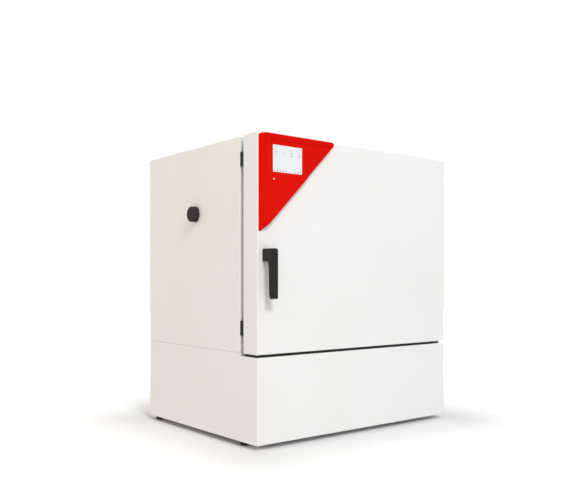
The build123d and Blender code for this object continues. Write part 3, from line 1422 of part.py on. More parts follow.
# Compressor: a welded can on a foot plate and four rubber mounts. The can's profile gives the radius and
# the height of each of its corners.
compressor_from_side = 232.0
compressor_from_back = 215.0
compressor_x = half_width - compressor_from_side
compressor_y = y_back - compressor_from_back
compressor_radius = 75.0
can_profile = ((0, 0), (63, 0), (73, 14), (73, 72), (78, 72), (78, 78), (71, 78), (71, 120), (53, 150),
               (0, 165))
mount_height = 14.0
mount_spacing = 140.0
plate_sheet = 3.0
plate_margin = 15.0
mount_radius = 11.0
z_chassis = z_bottom + chassis_sheet
z_can = z_chassis + mount_height + plate_sheet
with BuildPart() as compressor:
    with BuildSketch(level(z_chassis)):
        with Locations((compressor_x, compressor_y)):
            with GridLocations(mount_spacing, mount_spacing, 2, 2):
                Circle(mount_radius)
    extrude(amount=mount_height)
    with BuildSketch(level(z_chassis + mount_height)):
        with Locations((compressor_x, compressor_y)):
            RectangleRounded(mount_spacing + 2 * plate_margin, mount_spacing + 2 * plate_margin, plate_margin)
    extrude(amount=plate_sheet)
    with BuildSketch(Plane(origin=(compressor_x, compressor_y, z_can), x_dir=(1, 0, 0), z_dir=(0, -1, 0))):
        with BuildLine():
            Polyline(*can_profile, close=True)
        make_face()
    revolve(axis=Axis((compressor_x, compressor_y, 0), (0, 0, 1)), revolution_arc=360)
save(compressor, "compressor")

# Condenser: fins and tubes just inside the rear grille
condenser_half = 110.0
condenser_half_height = 88.0
condenser_fins = 15
condenser_fin = 1.2
condenser_tube_radius = 4.5
condenser_rows = 4
condenser_tube_span = 120.0
condenser_stub = 10.0
with BuildPart() as condenser:
    for fin in range(condenser_fins):
        x_fin = condenser_x - condenser_half + fin * 2 * condenser_half / (condenser_fins - 1)
        block(x_fin - condenser_fin / 2, x_fin + condenser_fin / 2, y_condenser - condenser_depth / 2,
              y_condenser + condenser_depth / 2, condenser_z - condenser_half_height,
              condenser_z + condenser_half_height)
    for row in range(condenser_rows):
        cross_rod(y_condenser, condenser_z + condenser_tube_span * (row / (condenser_rows - 1) - 0.5),
                  condenser_x - condenser_half - condenser_stub, condenser_x + condenser_half + condenser_stub,
                  condenser_tube_radius)
    block(condenser_x - condenser_half, condenser_x + condenser_half, y_condenser - condenser_depth / 2,
          y_condenser + condenser_depth / 2, z_chassis, condenser_z - condenser_half_height)
save(condenser, "condenser")

# Condenser fan: a square frame with a motor on struts, and its rotor
fan_frame_half = 84.0
fan_frame_depth = 36.0
fan_opening_radius = 77.0
fan_hub_radius = 24.0
fan_blade_radius = 73.0
fan_motor_length = 12.0
fan_strut = 8.0
fan_strut_sheet = 4.0
fan_strut_sink = 3.0
fan_frame_corner = 8.0
fan_axle_radius = 3.0
fan_bore_end = 2.0
fan_gap = 1.0
y_fan_back = y_condenser - condenser_depth / 2 - fan_gap
y_fan_front = y_fan_back - fan_frame_depth
with BuildPart() as condenser_fan_frame:
    with BuildSketch(upright(y_fan_back)):
        with Locations((condenser_x, condenser_z)):
            RectangleRounded(2 * fan_frame_half, 2 * fan_frame_half, fan_frame_corner)
            Circle(fan_opening_radius, mode=Mode.SUBTRACT)
    extrude(amount=fan_frame_depth)
    with BuildSketch(upright(y_fan_front + fan_strut_sheet)):
        with Locations((condenser_x, condenser_z)):
            Rectangle(2 * (fan_opening_radius + fan_strut_sink), fan_strut)
            Rectangle(fan_strut, 2 * (fan_opening_radius + fan_strut_sink))
            Circle(fan_hub_radius)
    extrude(amount=fan_strut_sheet)
    deep_rod(condenser_x, condenser_z, y_fan_front + fan_strut_sheet, y_fan_front + fan_motor_length,
             fan_hub_radius)
    deep_rod(condenser_x, condenser_z, y_fan_front + fan_bore_end, y_fan_front + fan_motor_length,
             fan_axle_radius + running_fit, Mode.SUBTRACT)
    block(condenser_x - fan_frame_half, condenser_x + fan_frame_half, y_fan_front, y_fan_back, z_chassis,
          condenser_z - fan_frame_half)
save(condenser_fan_frame, "condenser_fan_frame")

rotor_blades = 7
rotor_chord = 26.0
rotor_pitch = 38.0
rotor_sheet = 1.8
rotor_sink = 3.0
rotor_back_gap = 2.0
y_rotor_front = y_fan_front + fan_motor_length + fan_gap
y_rotor_back = y_fan_back - rotor_back_gap
with BuildPart() as condenser_fan:
    deep_rod(condenser_x, condenser_z, y_rotor_front, y_rotor_back, fan_hub_radius)
    deep_rod(condenser_x, condenser_z, y_fan_front + fan_bore_end + fan_gap, y_rotor_front, fan_axle_radius)
    for blade in range(rotor_blades):
        turn = 2 * math.pi * blade / rotor_blades
        out = Vector(math.cos(turn), 0, math.sin(turn))
        along = Vector(-math.sin(turn), 0, math.cos(turn))
        lean = math.radians(rotor_pitch)
        chord = along * math.cos(lean) + Vector(0, 1, 0) * math.sin(lean)
        middle = Vector(condenser_x, (y_rotor_front + y_rotor_back) / 2, condenser_z)
        start = middle + out * (fan_hub_radius - rotor_sink)
        with BuildSketch(Plane(origin=start, x_dir=chord, z_dir=out)):
            Rectangle(rotor_chord, rotor_sheet)
        extrude(amount=fan_blade_radius - fan_hub_radius + rotor_sink)
save(condenser_fan, "condenser_fan")

# Electronics box at the front left of the base
box_width = 190.0
box_depth = 160.0
box_height = 170.0
box_from_side = 27.0
box_from_face = 40.0
box_corner = 3.0
vent_count = 8
vent_pitch = 16.0
vent_width = 5.0
vent_length = 100.0
vent_depth = 3.0
box_left = -half_width + box_from_side
box_right = box_left + box_width
box_front = y_face + box_from_face
box_back = box_front + box_depth
with BuildPart() as electronics_box:
    block(box_left, box_right, box_front, box_back, z_chassis, z_chassis + box_height)
    fillet(electronics_box.edges().filter_by(Axis.Z), box_corner)
    with BuildSketch(level(z_chassis + box_height)):
        with Locations(((box_left + box_right) / 2, (box_front + box_back) / 2)):
            with GridLocations(vent_pitch, 0, vent_count, 1):
                Rectangle(vent_width, vent_length)
    extrude(amount=-vent_depth, mode=Mode.SUBTRACT)
save(electronics_box, "electronics_box")

# Refrigerant lines: straight runs with tangent bends
bend = 16.0
line_head = 14.0
can_stub = 100.0
can_waist = 2.0
x_evaporator_end = -evaporator_half - evaporator_stub
x_condenser_end = condenser_half + condenser_stub
z_hot = condenser_z - condenser_tube_span / 2
z_cool = condenser_z + condenser_tube_span / 2
can_wall = compressor_radius - can_waist + fit / 2
x_discharge = (compressor_x - compressor_radius + condenser_x + x_condenser_end) / 2
suction_route = [(x_evaporator_end, line_inside_y, suction_z), (line_x, line_inside_y, suction_z),
                 (line_x, suction_drop_y, suction_z), (line_x, suction_drop_y, z_seam - line_head),
                 (compressor_x, suction_drop_y, z_seam - line_head),
                 (compressor_x, compressor_y + can_stub, z_seam - line_head),
                 (compressor_x, compressor_y + can_stub, z_cool), (compressor_x, compressor_y + can_wall, z_cool)]
liquid_route = [(x_evaporator_end, line_inside_y, liquid_z), (line_x, line_inside_y, liquid_z),
                (line_x, liquid_drop_y, liquid_z), (line_x, liquid_drop_y, z_cool),
                (condenser_x - x_condenser_end, liquid_drop_y, z_cool)]
discharge_route = [(compressor_x - can_wall, compressor_y, z_hot), (x_discharge, compressor_y, z_hot),
                   (x_discharge, y_condenser, z_hot), (condenser_x + x_condenser_end, y_condenser, z_hot)]
with BuildPart() as refrigerant_pipes:
    for route, radius in ((suction_route, suction_radius), (liquid_route, liquid_radius),
                          (discharge_route, liquid_radius)):
        with BuildLine() as path:
            FilletPolyline(*route, radius=bend)
        with BuildSketch(Plane(origin=route[0], z_dir=(-1, 0, 0))):
            Circle(radius)
        sweep(path=path.wires()[0])
save(refrigerant_pipes, "refrigerant_pipes")
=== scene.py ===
import math
import bpy
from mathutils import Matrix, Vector


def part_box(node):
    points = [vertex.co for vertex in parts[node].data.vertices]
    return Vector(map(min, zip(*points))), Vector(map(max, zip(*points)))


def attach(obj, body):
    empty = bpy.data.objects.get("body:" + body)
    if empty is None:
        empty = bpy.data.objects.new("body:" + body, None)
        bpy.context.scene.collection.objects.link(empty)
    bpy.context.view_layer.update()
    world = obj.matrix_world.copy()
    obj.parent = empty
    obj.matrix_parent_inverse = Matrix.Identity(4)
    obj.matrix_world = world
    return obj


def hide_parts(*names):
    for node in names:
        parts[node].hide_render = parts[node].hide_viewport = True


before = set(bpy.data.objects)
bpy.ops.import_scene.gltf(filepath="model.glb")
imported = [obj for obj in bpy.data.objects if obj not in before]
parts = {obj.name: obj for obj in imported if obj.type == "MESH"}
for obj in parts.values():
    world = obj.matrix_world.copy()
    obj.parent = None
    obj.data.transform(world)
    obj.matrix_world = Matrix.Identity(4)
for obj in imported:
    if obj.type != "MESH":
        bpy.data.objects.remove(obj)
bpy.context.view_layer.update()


# Base shell: a folded steel sheet round the refrigeration room, powder coated white.
# The coat has the faint orange peel and the slow change of tone of a baked powder.
def new_finish(name, colour, roughness, metallic=0.0, shine=0.5):
    material = bpy.data.materials.new(name)
    material.use_nodes = True
    shader = material.node_tree.nodes["Principled BSDF"]
    shader.inputs["Base Color"].default_value = (*colour, 1.0)
    shader.inputs["Roughness"].default_value = roughness
    shader.inputs["Metallic"].default_value = metallic
    shader.inputs["Specular IOR Level"].default_value = shine
    return material, shader


def place_on_piece(material, stretch=(1.0, 1.0, 1.0)):
    tree = material.node_tree
    place = tree.nodes.new("ShaderNodeTexCoord")
    stretched = tree.nodes.new("ShaderNodeMapping")
    stretched.inputs["Scale"].default_value = stretch
    tree.links.new(place.outputs["Object"], stretched.inputs["Vector"])
    return stretched.outputs["Vector"]


def noise(material, scale, detail=3.0, stretch=(1.0, 1.0, 1.0)):
    tree = material.node_tree
    texture = tree.nodes.new("ShaderNodeTexNoise")
    texture.inputs["Scale"].default_value = scale
    texture.inputs["Detail"].default_value = detail
    tree.links.new(place_on_piece(material, stretch), texture.inputs["Vector"])
    return texture.outputs["Fac"]


def two_tones(material, socket, factor, first, second, low=0.35, high=0.65):
    tree = material.node_tree
    ramp = tree.nodes.new("ShaderNodeValToRGB")
    ramp.color_ramp.elements[0].position = low
    ramp.color_ramp.elements[0].color = (*first, 1.0)
    ramp.color_ramp.elements[1].position = high
    ramp.color_ramp.elements[1].color = (*second, 1.0)
    tree.links.new(factor, ramp.inputs["Fac"])
    tree.links.new(ramp.outputs["Color"], socket)


def span(material, socket, factor, least, most):
    tree = material.node_tree
    spread = tree.nodes.new("ShaderNodeMapRange")
    spread.inputs["From Min"].default_value = 0.3
    spread.inputs["From Max"].default_value = 0.7
    spread.inputs["To Min"].default_value = least
    spread.inputs["To Max"].default_value = most
    tree.links.new(factor, spread.inputs["Value"])
    tree.links.new(spread.outputs["Result"], socket)


def relief(material, shader, height, depth):
    tree = material.node_tree
    bump = tree.nodes.new("ShaderNodeBump")
    bump.inputs["Distance"].default_value = depth
    bump.inputs["Strength"].default_value = 1.0
    tree.links.new(height, bump.inputs["Height"])
    tree.links.new(bump.outputs["Normal"], shader.inputs["Normal"])


def coat(node, material):
    piece = parts[node]
    if not piece.data.materials:
        piece.data.materials.append(material)
    for index in range(len(piece.material_slots)):
        piece.material_slots[index].material = material


powder_white, shader = new_finish("powder_coat_white", (0.85, 0.85, 0.84), 0.42, 0.0, 0.25)
two_tones(powder_white, shader.inputs["Base Color"], noise(powder_white, 3.0),
          (0.842, 0.840, 0.828), (0.862, 0.861, 0.852))
span(powder_white, shader.inputs["Roughness"], noise(powder_white, 240.0), 0.34, 0.44)
relief(powder_white, shader, noise(powder_white, 620.0, 1.0), 0.00006)
coat("base_shell", powder_white)

# Base front cover: a separate pressed sheet that closes the room under the door.
# It has the same powder coat, and hooks into the shell behind its side seams.
coat("base_front_cover", powder_white)

# Floor tray and its cross members: galvanised sheet, with the pale spangle of the zinc.
# It carries the compressor and the four feet and is folded up at its edges.
zinc_sheet, shader = new_finish("galvanised_sheet", (0.55, 0.56, 0.57), 0.42, 0.9)
spangle = zinc_sheet.node_tree.nodes.new("ShaderNodeTexVoronoi")
spangle.inputs["Scale"].default_value = 110.0
zinc_sheet.node_tree.links.new(place_on_piece(zinc_sheet), spangle.inputs["Vector"])
two_tones(zinc_sheet, shader.inputs["Base Color"], spangle.outputs["Color"],
          (0.46, 0.47, 0.49), (0.62, 0.63, 0.64), 0.1, 0.9)
span(zinc_sheet, shader.inputs["Roughness"], spangle.outputs["Color"], 0.34, 0.5)
coat("base_chassis", zinc_sheet)

# Feet: moulded black rubber round a steel stud that screws into the tray.
# The rubber is dull, a little dusty, and paler where it has rubbed the floor.
black_rubber, shader = new_finish("black_rubber", (0.02, 0.02, 0.02), 0.75, 0.0, 0.15)
two_tones(black_rubber, shader.inputs["Base Color"], noise(black_rubber, 90.0, 5.0),
          (0.012, 0.012, 0.012), (0.03, 0.029, 0.027))
span(black_rubber, shader.inputs["Roughness"], noise(black_rubber, 300.0), 0.62, 0.85)
relief(black_rubber, shader, noise(black_rubber, 900.0), 0.00012)
for corner in ("front_left", "front_right", "rear_left", "rear_right"):
    coat("foot_" + corner, black_rubber)

# Gap strip: an extruded rubber profile that fills the slot between the base and the door.
coat("gap_strip", black_rubber)

# Rear grille: a perforated sheet over the back of the refrigeration room, coated white.
# It comes off for cleaning, so it is held by pan head screws.
coat("base_rear_grille", powder_white)

# Compressor: a drawn steel pot with a gloss black lacquer, standing on rubber buffers.
black_lacquer, shader = new_finish("black_lacquer", (0.012, 0.012, 0.013), 0.22)
two_tones(black_lacquer, shader.inputs["Base Color"], noise(black_lacquer, 25.0),
          (0.01, 0.01, 0.011), (0.022, 0.022, 0.024))
span(black_lacquer, shader.inputs["Roughness"], noise(black_lacquer, 60.0), 0.16, 0.34)
relief(black_lacquer, shader, noise(black_lacquer, 160.0), 0.0002)
coat("compressor", black_lacquer)

# Condenser and evaporator: aluminium fins pressed over tube, dull and a little oily.
fin_alloy, shader = new_finish("fin_aluminium", (0.68, 0.69, 0.71), 0.38, 1.0)
two_tones(fin_alloy, shader.inputs["Base Color"], noise(fin_alloy, 40.0, 4.0, (1.0, 1.0, 8.0)),
          (0.58, 0.59, 0.6), (0.74, 0.75, 0.77))
span(fin_alloy, shader.inputs["Roughness"], noise(fin_alloy, 200.0, 2.0, (1.0, 1.0, 12.0)), 0.28, 0.46)
coat("condenser", fin_alloy)
coat("evaporator", fin_alloy)
coat("circulation_fan", fin_alloy)
coat("lock_case", fin_alloy)

# Cooling fan and its frame: glass-filled black plastic with a fine eroded texture.
black_plastic, shader = new_finish("black_moulding", (0.012, 0.012, 0.012), 0.5, 0.0, 0.2)
two_tones(black_plastic, shader.inputs["Base Color"], noise(black_plastic, 70.0, 4.0),
          (0.009, 0.009, 0.009), (0.014, 0.0135, 0.013))
span(black_plastic, shader.inputs["Roughness"], noise(black_plastic, 420.0), 0.42, 0.56)
relief(black_plastic, shader, noise(black_plastic, 1500.0), 0.00005)
coat("condenser_fan_frame", black_plastic)
coat("condenser_fan", black_plastic)

# Refrigerant pipes: drawn copper, brazed at the joints and darkened there by the flame.
copper, shader = new_finish("drawn_copper", (0.72, 0.36, 0.22), 0.3, 1.0)
two_tones(copper, shader.inputs["Base Color"], noise(copper, 16.0, 5.0),
          (0.42, 0.19, 0.11), (0.78, 0.42, 0.27), 0.3, 0.6)
span(copper, shader.inputs["Roughness"], noise(copper, 120.0), 0.22, 0.48)
coat("refrigerant_pipes", copper)

# Electronics box: a folded sheet box, lacquered grey, with the mains filter inside.
grey_lacquer, shader = new_finish("grey_lacquer", (0.42, 0.43, 0.44), 0.45)
two_tones(grey_lacquer, shader.inputs["Base Color"], noise(grey_lacquer, 8.0),
          (0.40, 0.41, 0.42), (0.46, 0.47, 0.48))
relief(grey_lacquer, shader, noise(grey_lacquer, 700.0, 1.0), 0.00008)
coat("electronics_box", grey_lacquer)
coat("circulation_motor", grey_lacquer)

# Mains inlet and power switch: black moulded plastic, snapped into the rear grille.
coat("mains_inlet", black_plastic)
coat("power_switch", black_plastic)

# Cabinet: one long sheet folded over the sides and top, powder coated as the base is.
# Its rear panel is a second sheet, folded in at the edges and screwed on.
coat("cabinet_shell", powder_white)
coat("cabinet_rear_panel", powder_white)

# Insulation: polyurethane foam that fills the space between the case and the vessel.
foam, shader = new_finish("polyurethane_foam", (0.72, 0.62, 0.36), 0.9)
two_tones(foam, shader.inputs["Base Color"], noise(foam, 60.0, 6.0), (0.62, 0.5, 0.26), (0.78, 0.7, 0.46))
relief(foam, shader, noise(foam, 500.0, 4.0), 0.0008)
coat("cabinet_insulation", foam)
coat("door_insulation", foam)

# Front frame: four extruded plastic strips, mitred at the corners, that part the cold
# vessel from the outer case. The mitres show as thin dark lines across each corner.
light_moulding, shader = new_finish("light_moulding", (0.78, 0.78, 0.76), 0.42)
two_tones(light_moulding, shader.inputs["Base Color"], noise(light_moulding, 12.0),
          (0.76, 0.76, 0.735), (0.80, 0.80, 0.785))
relief(light_moulding, shader, noise(light_moulding, 1100.0), 0.00004)
coat("front_frame", light_moulding)
coat("door_liner", light_moulding)
coat("port_tube", light_moulding)
coat("rod_guides", black_plastic)

# Vessel: deep-drawn stainless sheet with a fine brushed grain that runs across.
brushed_steel, shader = new_finish("brushed_stainless", (0.62, 0.61, 0.59), 0.28, 1.0)
brushing = noise(brushed_steel, 60.0, 6.0, (1.0, 40.0, 40.0))
two_tones(brushed_steel, shader.inputs["Base Color"], brushing, (0.56, 0.555, 0.54), (0.68, 0.675, 0.66))
span(brushed_steel, shader.inputs["Roughness"], brushing, 0.22, 0.38)
relief(brushed_steel, shader, brushing, 0.00003)
coat("chamber_vessel", brushed_steel)
coat("air_baffle", brushed_steel)
coat("rack_rails", brushed_steel)

# Racks: steel wire, welded and electropolished, so it is bright with small soft waves.
bright_wire, shader = new_finish("electropolished_wire", (0.74, 0.74, 0.74), 0.14, 1.0)
two_tones(bright_wire, shader.inputs["Base Color"], noise(bright_wire, 30.0),
          (0.66, 0.66, 0.66), (0.8, 0.8, 0.8))
span(bright_wire, shader.inputs["Roughness"], noise(bright_wire, 90.0), 0.1, 0.24)
coat("rack_lower", bright_wire)
coat("rack_upper", bright_wire)

# Ground steel: heater tube, probe, hinges, pins and the latch, with a fine turned grain.
ground_steel, shader = new_finish("ground_steel", (0.5, 0.5, 0.51), 0.32, 1.0)
grinding = noise(ground_steel, 400.0, 4.0, (1.0, 1.0, 6.0))
two_tones(ground_steel, shader.inputs["Base Color"], grinding, (0.42, 0.42, 0.43), (0.58, 0.58, 0.59))
span(ground_steel, shader.inputs["Roughness"], grinding, 0.24, 0.42)
for node in ("heating_element", "temperature_probe", "glass_door_hinge_leaves", "glass_door_hinge_brackets",
             "hinge_bracket_upper", "hinge_bracket_lower", "hinge_pins", "hinge_bushes", "latch_rod_upper",
             "latch_rod_lower", "handle_spindle", "latch_pinion"):
    coat(node, ground_steel)

# Access port: a tube through the wall, shut from outside by a moulded rubber plug.
# The plug is a dark warm grey, lighter than the feet.
plug_rubber, shader = new_finish("plug_rubber", (0.03, 0.027, 0.025), 0.7, 0.0, 0.12)
two_tones(plug_rubber, shader.inputs["Base Color"], noise(plug_rubber, 120.0, 4.0),
          (0.026, 0.024, 0.022), (0.036, 0.032, 0.029))
span(plug_rubber, shader.inputs["Roughness"], noise(plug_rubber, 300.0), 0.5, 0.7)
relief(plug_rubber, shader, noise(plug_rubber, 900.0), 0.0001)
coat("port_plug", plug_rubber)

# Inner door: a pane of toughened glass with ground edges, in a silicone seal.
pane_glass, shader = new_finish("toughened_glass", (0.93, 0.98, 0.96), 0.02)
shader.inputs["Transmission Weight"].default_value = 1.0
shader.inputs["IOR"].default_value = 1.5
span(pane_glass, shader.inputs["Roughness"], noise(pane_glass, 8.0), 0.0, 0.03)
coat("glass_pane", pane_glass)
silicone, shader = new_finish("silicone_seal", (0.7, 0.7, 0.68), 0.55)
two_tones(silicone, shader.inputs["Base Color"], noise(silicone, 50.0),
          (0.66, 0.66, 0.63), (0.74, 0.74, 0.72))
shader.inputs["Subsurface Weight"].default_value = 0.15
coat("glass_door_gasket", silicone)
coat("glass_door_knob", black_plastic)

# Hinge side and latch side fittings: a black pivot block low on the right, and two
# black keepers on the left, screwed to the front frame.
coat("lower_pivot_block", black_plastic)
coat("latch_keepers", black_plastic)

# Outer door: a skin of folded steel round foam, with a moulded liner behind and a
# magnetic gasket of soft grey vinyl all round.
coat("door_skin", powder_white)
grey_vinyl, shader = new_finish("grey_vinyl", (0.32, 0.32, 0.32), 0.55)
two_tones(grey_vinyl, shader.inputs["Base Color"], noise(grey_vinyl, 40.0),
          (0.29, 0.29, 0.29), (0.35, 0.35, 0.345))
relief(grey_vinyl, shader, noise(grey_vinyl, 800.0), 0.00006)
coat("door_gasket", grey_vinyl)

# Handle: a lever of black glass-filled plastic on the latch's spindle, moulded in one
# with a boss at the top that reaches back to the door, and soft all round to the hand.
handle_plastic, shader = new_finish("handle_moulding", (0.013, 0.0125, 0.012), 0.45, 0.0, 0.2)
two_tones(handle_plastic, shader.inputs["Base Color"], noise(handle_plastic, 60.0, 4.0),
          (0.011, 0.0105, 0.010), (0.016, 0.0155, 0.015))
span(handle_plastic, shader.inputs["Roughness"], noise(handle_plastic, 500.0), 0.36, 0.48)
relief(handle_plastic, shader, noise(handle_plastic, 1600.0), 0.00004)
coat("door_handle", handle_plastic)


def pick(piece, wanted, kind="FACE"):
    bpy.ops.object.mode_set(mode="EDIT")
    bpy.ops.mesh.select_mode(type=kind)
    bpy.ops.mesh.select_all(action="DESELECT")
    bpy.ops.object.mode_set(mode="OBJECT")
    mesh = piece.data
    elements = {"FACE": mesh.polygons, "EDGE": mesh.edges, "VERT": mesh.vertices}[kind]
    for element in elements:
        if kind == "FACE":
            element.select = wanted(element.center, element.normal)
        elif kind == "EDGE":
            ends = [mesh.vertices[index].co for index in element.vertices]
            element.select = wanted(*ends)
        else:
            element.select = wanted(element.co)
    bpy.ops.object.mode_set(mode="EDIT")


def to_place(piece):
    bpy.ops.object.mode_set(mode="OBJECT")
    bpy.ops.object.transform_apply(location=True, rotation=True, scale=True)


grip_low, grip_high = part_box("door_handle")
grip_depth = 0.0155
boss_height = 0.037
taper_height = 0.016
tip_taper = 0.0065
tip_lean = 0.004
edge_round = 0.007
top_round = 0.009
end_round = 0.006
near = 0.001
grip_back = grip_low.y + grip_depth
boss_low = grip_high.z - boss_height
taper_top = grip_low.z + taper_height
bpy.ops.object.select_all(action="DESELECT")
bpy.ops.mesh.primitive_cube_add(size=1.0, location=((grip_low.x + grip_high.x) / 2,
                                (grip_low.y + grip_back) / 2, (grip_low.z + grip_high.z) / 2))
lever = bpy.context.object
lever.name = "handle_lever"
lever.scale = (grip_high.x - grip_low.x, grip_back - grip_low.y, grip_high.z - grip_low.z)
bpy.ops.object.transform_apply(location=True, rotation=True, scale=True)
bpy.ops.object.mode_set(mode="EDIT")
for cut in (boss_low, taper_top, grip_high.z - top_round, boss_low + end_round, grip_low.z + end_round):
    bpy.ops.mesh.select_all(action="SELECT")
    bpy.ops.mesh.bisect(plane_co=(0.0, 0.0, cut), plane_no=(0.0, 0.0, 1.0))
for cut in (grip_low.x + edge_round, grip_high.x - edge_round):
    bpy.ops.mesh.select_all(action="SELECT")
    bpy.ops.mesh.bisect(plane_co=(cut, 0.0, 0.0), plane_no=(1.0, 0.0, 0.0))
bpy.ops.mesh.select_all(action="SELECT")
bpy.ops.mesh.bisect(plane_co=(0.0, grip_low.y + edge_round, 0.0), plane_no=(0.0, 1.0, 0.0))
pick(lever, lambda centre, normal: normal.y > 0.9 and centre.z > boss_low)
boss_reach = grip_high.y - grip_back
for step in (boss_reach * 0.4, boss_reach * 0.5, boss_reach * 0.1):
    bpy.ops.mesh.extrude_region_move(TRANSFORM_OT_translate={"value": (0.0, step, 0.0)})
pick(lever, lambda spot: spot.z < grip_low.z + near and spot.y > grip_back - near, "VERT")
bpy.ops.transform.translate(value=(0.0, -tip_taper, 0.0))
pick(lever, lambda spot: grip_low.z + near < spot.z < grip_low.z + end_round + near
     and spot.y > grip_back - near, "VERT")
bpy.ops.transform.translate(value=(0.0, -tip_lean, 0.0))
bpy.ops.object.mode_set(mode="OBJECT")
rounding = lever.modifiers.new("rounding", "SUBSURF")
rounding.levels = 3
rounding.render_levels = 3
bpy.ops.object.modifier_apply(modifier="rounding")
bpy.ops.object.shade_smooth_by_angle(angle=math.radians(40.0))
lever.data.materials.append(handle_plastic)
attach(lever, "handle")
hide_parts("door_handle")

# Control housing: one injection moulding in red plastic with a satin gloss.
# The service cover below the screen is moulded in the same red.
red_moulding, shader = new_finish("red_moulding", (0.68, 0.004, 0.0004), 0.4, 0.0, 0.05)
two_tones(red_moulding, shader.inputs["Base Color"], noise(red_moulding, 5.0),
          (0.665, 0.0035, 0.0003), (0.70, 0.005, 0.0005))
span(red_moulding, shader.inputs["Roughness"], noise(red_moulding, 350.0), 0.3, 0.38)
relief(red_moulding, shader, noise(red_moulding, 1300.0), 0.00003)
coat("control_housing", red_moulding)
coat("service_cover", red_moulding)

# Screws: pan heads with a six-lobe socket, zinc plated, all driven home. They hold the
# rear panel and the grille, in one row down each side.
screw_zinc, shader = new_finish("screw_zinc", (0.6, 0.61, 0.62), 0.3, 1.0)
two_tones(screw_zinc, shader.inputs["Base Color"], noise(screw_zinc, 500.0),
          (0.5, 0.51, 0.52), (0.68, 0.69, 0.7))
span(screw_zinc, shader.inputs["Roughness"], noise(screw_zinc, 700.0), 0.24, 0.4)


def pan_head(name, place, turn, radius, height, body):
    bpy.ops.object.select_all(action="DESELECT")
    bpy.ops.mesh.primitive_cylinder_add(vertices=48, radius=radius, depth=height,
                                        location=(0.0, 0.0, height / 2))
    head = bpy.context.object
    head.name = name
    to_place(head)
    crown = height * 0.62
    socket_wall = (radius - crown) * 0.3
    socket_radius = radius - crown - socket_wall
    pick(head, lambda first, last: min(first.z, last.z) > height * 0.9
         and min(first.length, last.length) > radius * 0.9, "EDGE")
    bpy.ops.mesh.bevel(offset=crown, segments=6, profile=0.55)
    pick(head, lambda centre, normal: normal.z > 0.99 and centre.z > height * 0.9)
    bpy.ops.mesh.inset(thickness=socket_wall)
    pick(head, lambda spot: spot.z > height * 0.95 and math.hypot(spot.x, spot.y) < socket_radius * 1.02
         and math.cos(6 * math.atan2(spot.y, spot.x)) < -0.3, "VERT")
    bpy.ops.transform.resize(value=(0.74, 0.74, 1.0), center_override=(0.0, 0.0, height))
    pick(head, lambda centre, normal: normal.z > 0.99 and centre.z > height * 0.9
         and math.hypot(centre.x, centre.y) < radius * 0.05)
    bpy.ops.mesh.extrude_region_move(TRANSFORM_OT_translate={"value": (0.0, 0.0, -height * 0.55)})
    bpy.ops.object.mode_set(mode="OBJECT")
    bpy.ops.object.shade_smooth_by_angle(angle=math.radians(35.0))
    head.data.materials.append(screw_zinc)
    head.rotation_euler = turn
    head.location = place
    to_place(head)
    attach(head, body)


to_back = (math.radians(-90.0), 0.0, 0.0)
head_radius = 0.0042
head_height = 0.0022
screw_from_side = 0.014
screw_from_end = 0.03
for node, rows in (("cabinet_rear_panel", 4), ("base_rear_grille", 2)):
    sheet_low, sheet_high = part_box(node)
    row_pitch = (sheet_high.z - sheet_low.z - 2 * screw_from_end) / (rows - 1)
    for side, x_screw in (("left", sheet_low.x + screw_from_side), ("right", sheet_high.x - screw_from_side)):
        for row in range(rows):
            z_screw = sheet_low.z + screw_from_end + row * row_pitch
            pan_head(f"{node}_screw_{side}_{row + 1}", (x_screw, sheet_high.y - head_height, z_screw),
                     to_back, head_radius, head_height, "cabinet")

# Mitre seams: the flange round the opening is folded from the case's sheet and meets at
# 45 degrees in each corner, where a fine sealed joint shows as a thin dark line.
seam_sealer, shader = new_finish("seam_sealer", (0.08, 0.08, 0.078), 0.6, 0.0, 0.2)
two_tones(seam_sealer, shader.inputs["Base Color"], noise(seam_sealer, 200.0),
          (0.06, 0.06, 0.058), (0.1, 0.1, 0.096))
case_low, case_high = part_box("cabinet_shell")
flange_width = 0.04
seam_length = 0.05
seam_width = 0.0007
seam_proud = 0.0002
for name, x_corner, z_corner, along, across in (
        ("mitre_top_left", case_low.x, case_high.z, 1, -1),
        ("mitre_top_right", case_high.x, case_high.z, -1, -1),
        ("mitre_low_left", case_low.x, case_low.z, 1, 1),
        ("mitre_low_right", case_high.x, case_low.z, -1, 1)):
    bpy.ops.object.select_all(action="DESELECT")
    bpy.ops.mesh.primitive_cube_add(size=1.0)
    seam = bpy.context.object
    seam.name = name
    seam.scale = (seam_length, seam_proud * 2, seam_width)
    to_place(seam)
    pick(seam, lambda first, last: max(first.y, last.y) < 0.0
         and abs(first.z - last.z) < seam_width / 2, "EDGE")
    bpy.ops.mesh.bevel(offset=seam_proud / 2, segments=2)
    bpy.ops.object.mode_set(mode="OBJECT")
    seam.data.materials.append(seam_sealer)
    seam.rotation_euler = (0.0, math.radians(-45.0 * along * across), 0.0)
    seam.location = (x_corner + along * flange_width / 2, case_low.y, z_corner + across * flange_width / 2)
    to_place(seam)
    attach(seam, "cabinet")

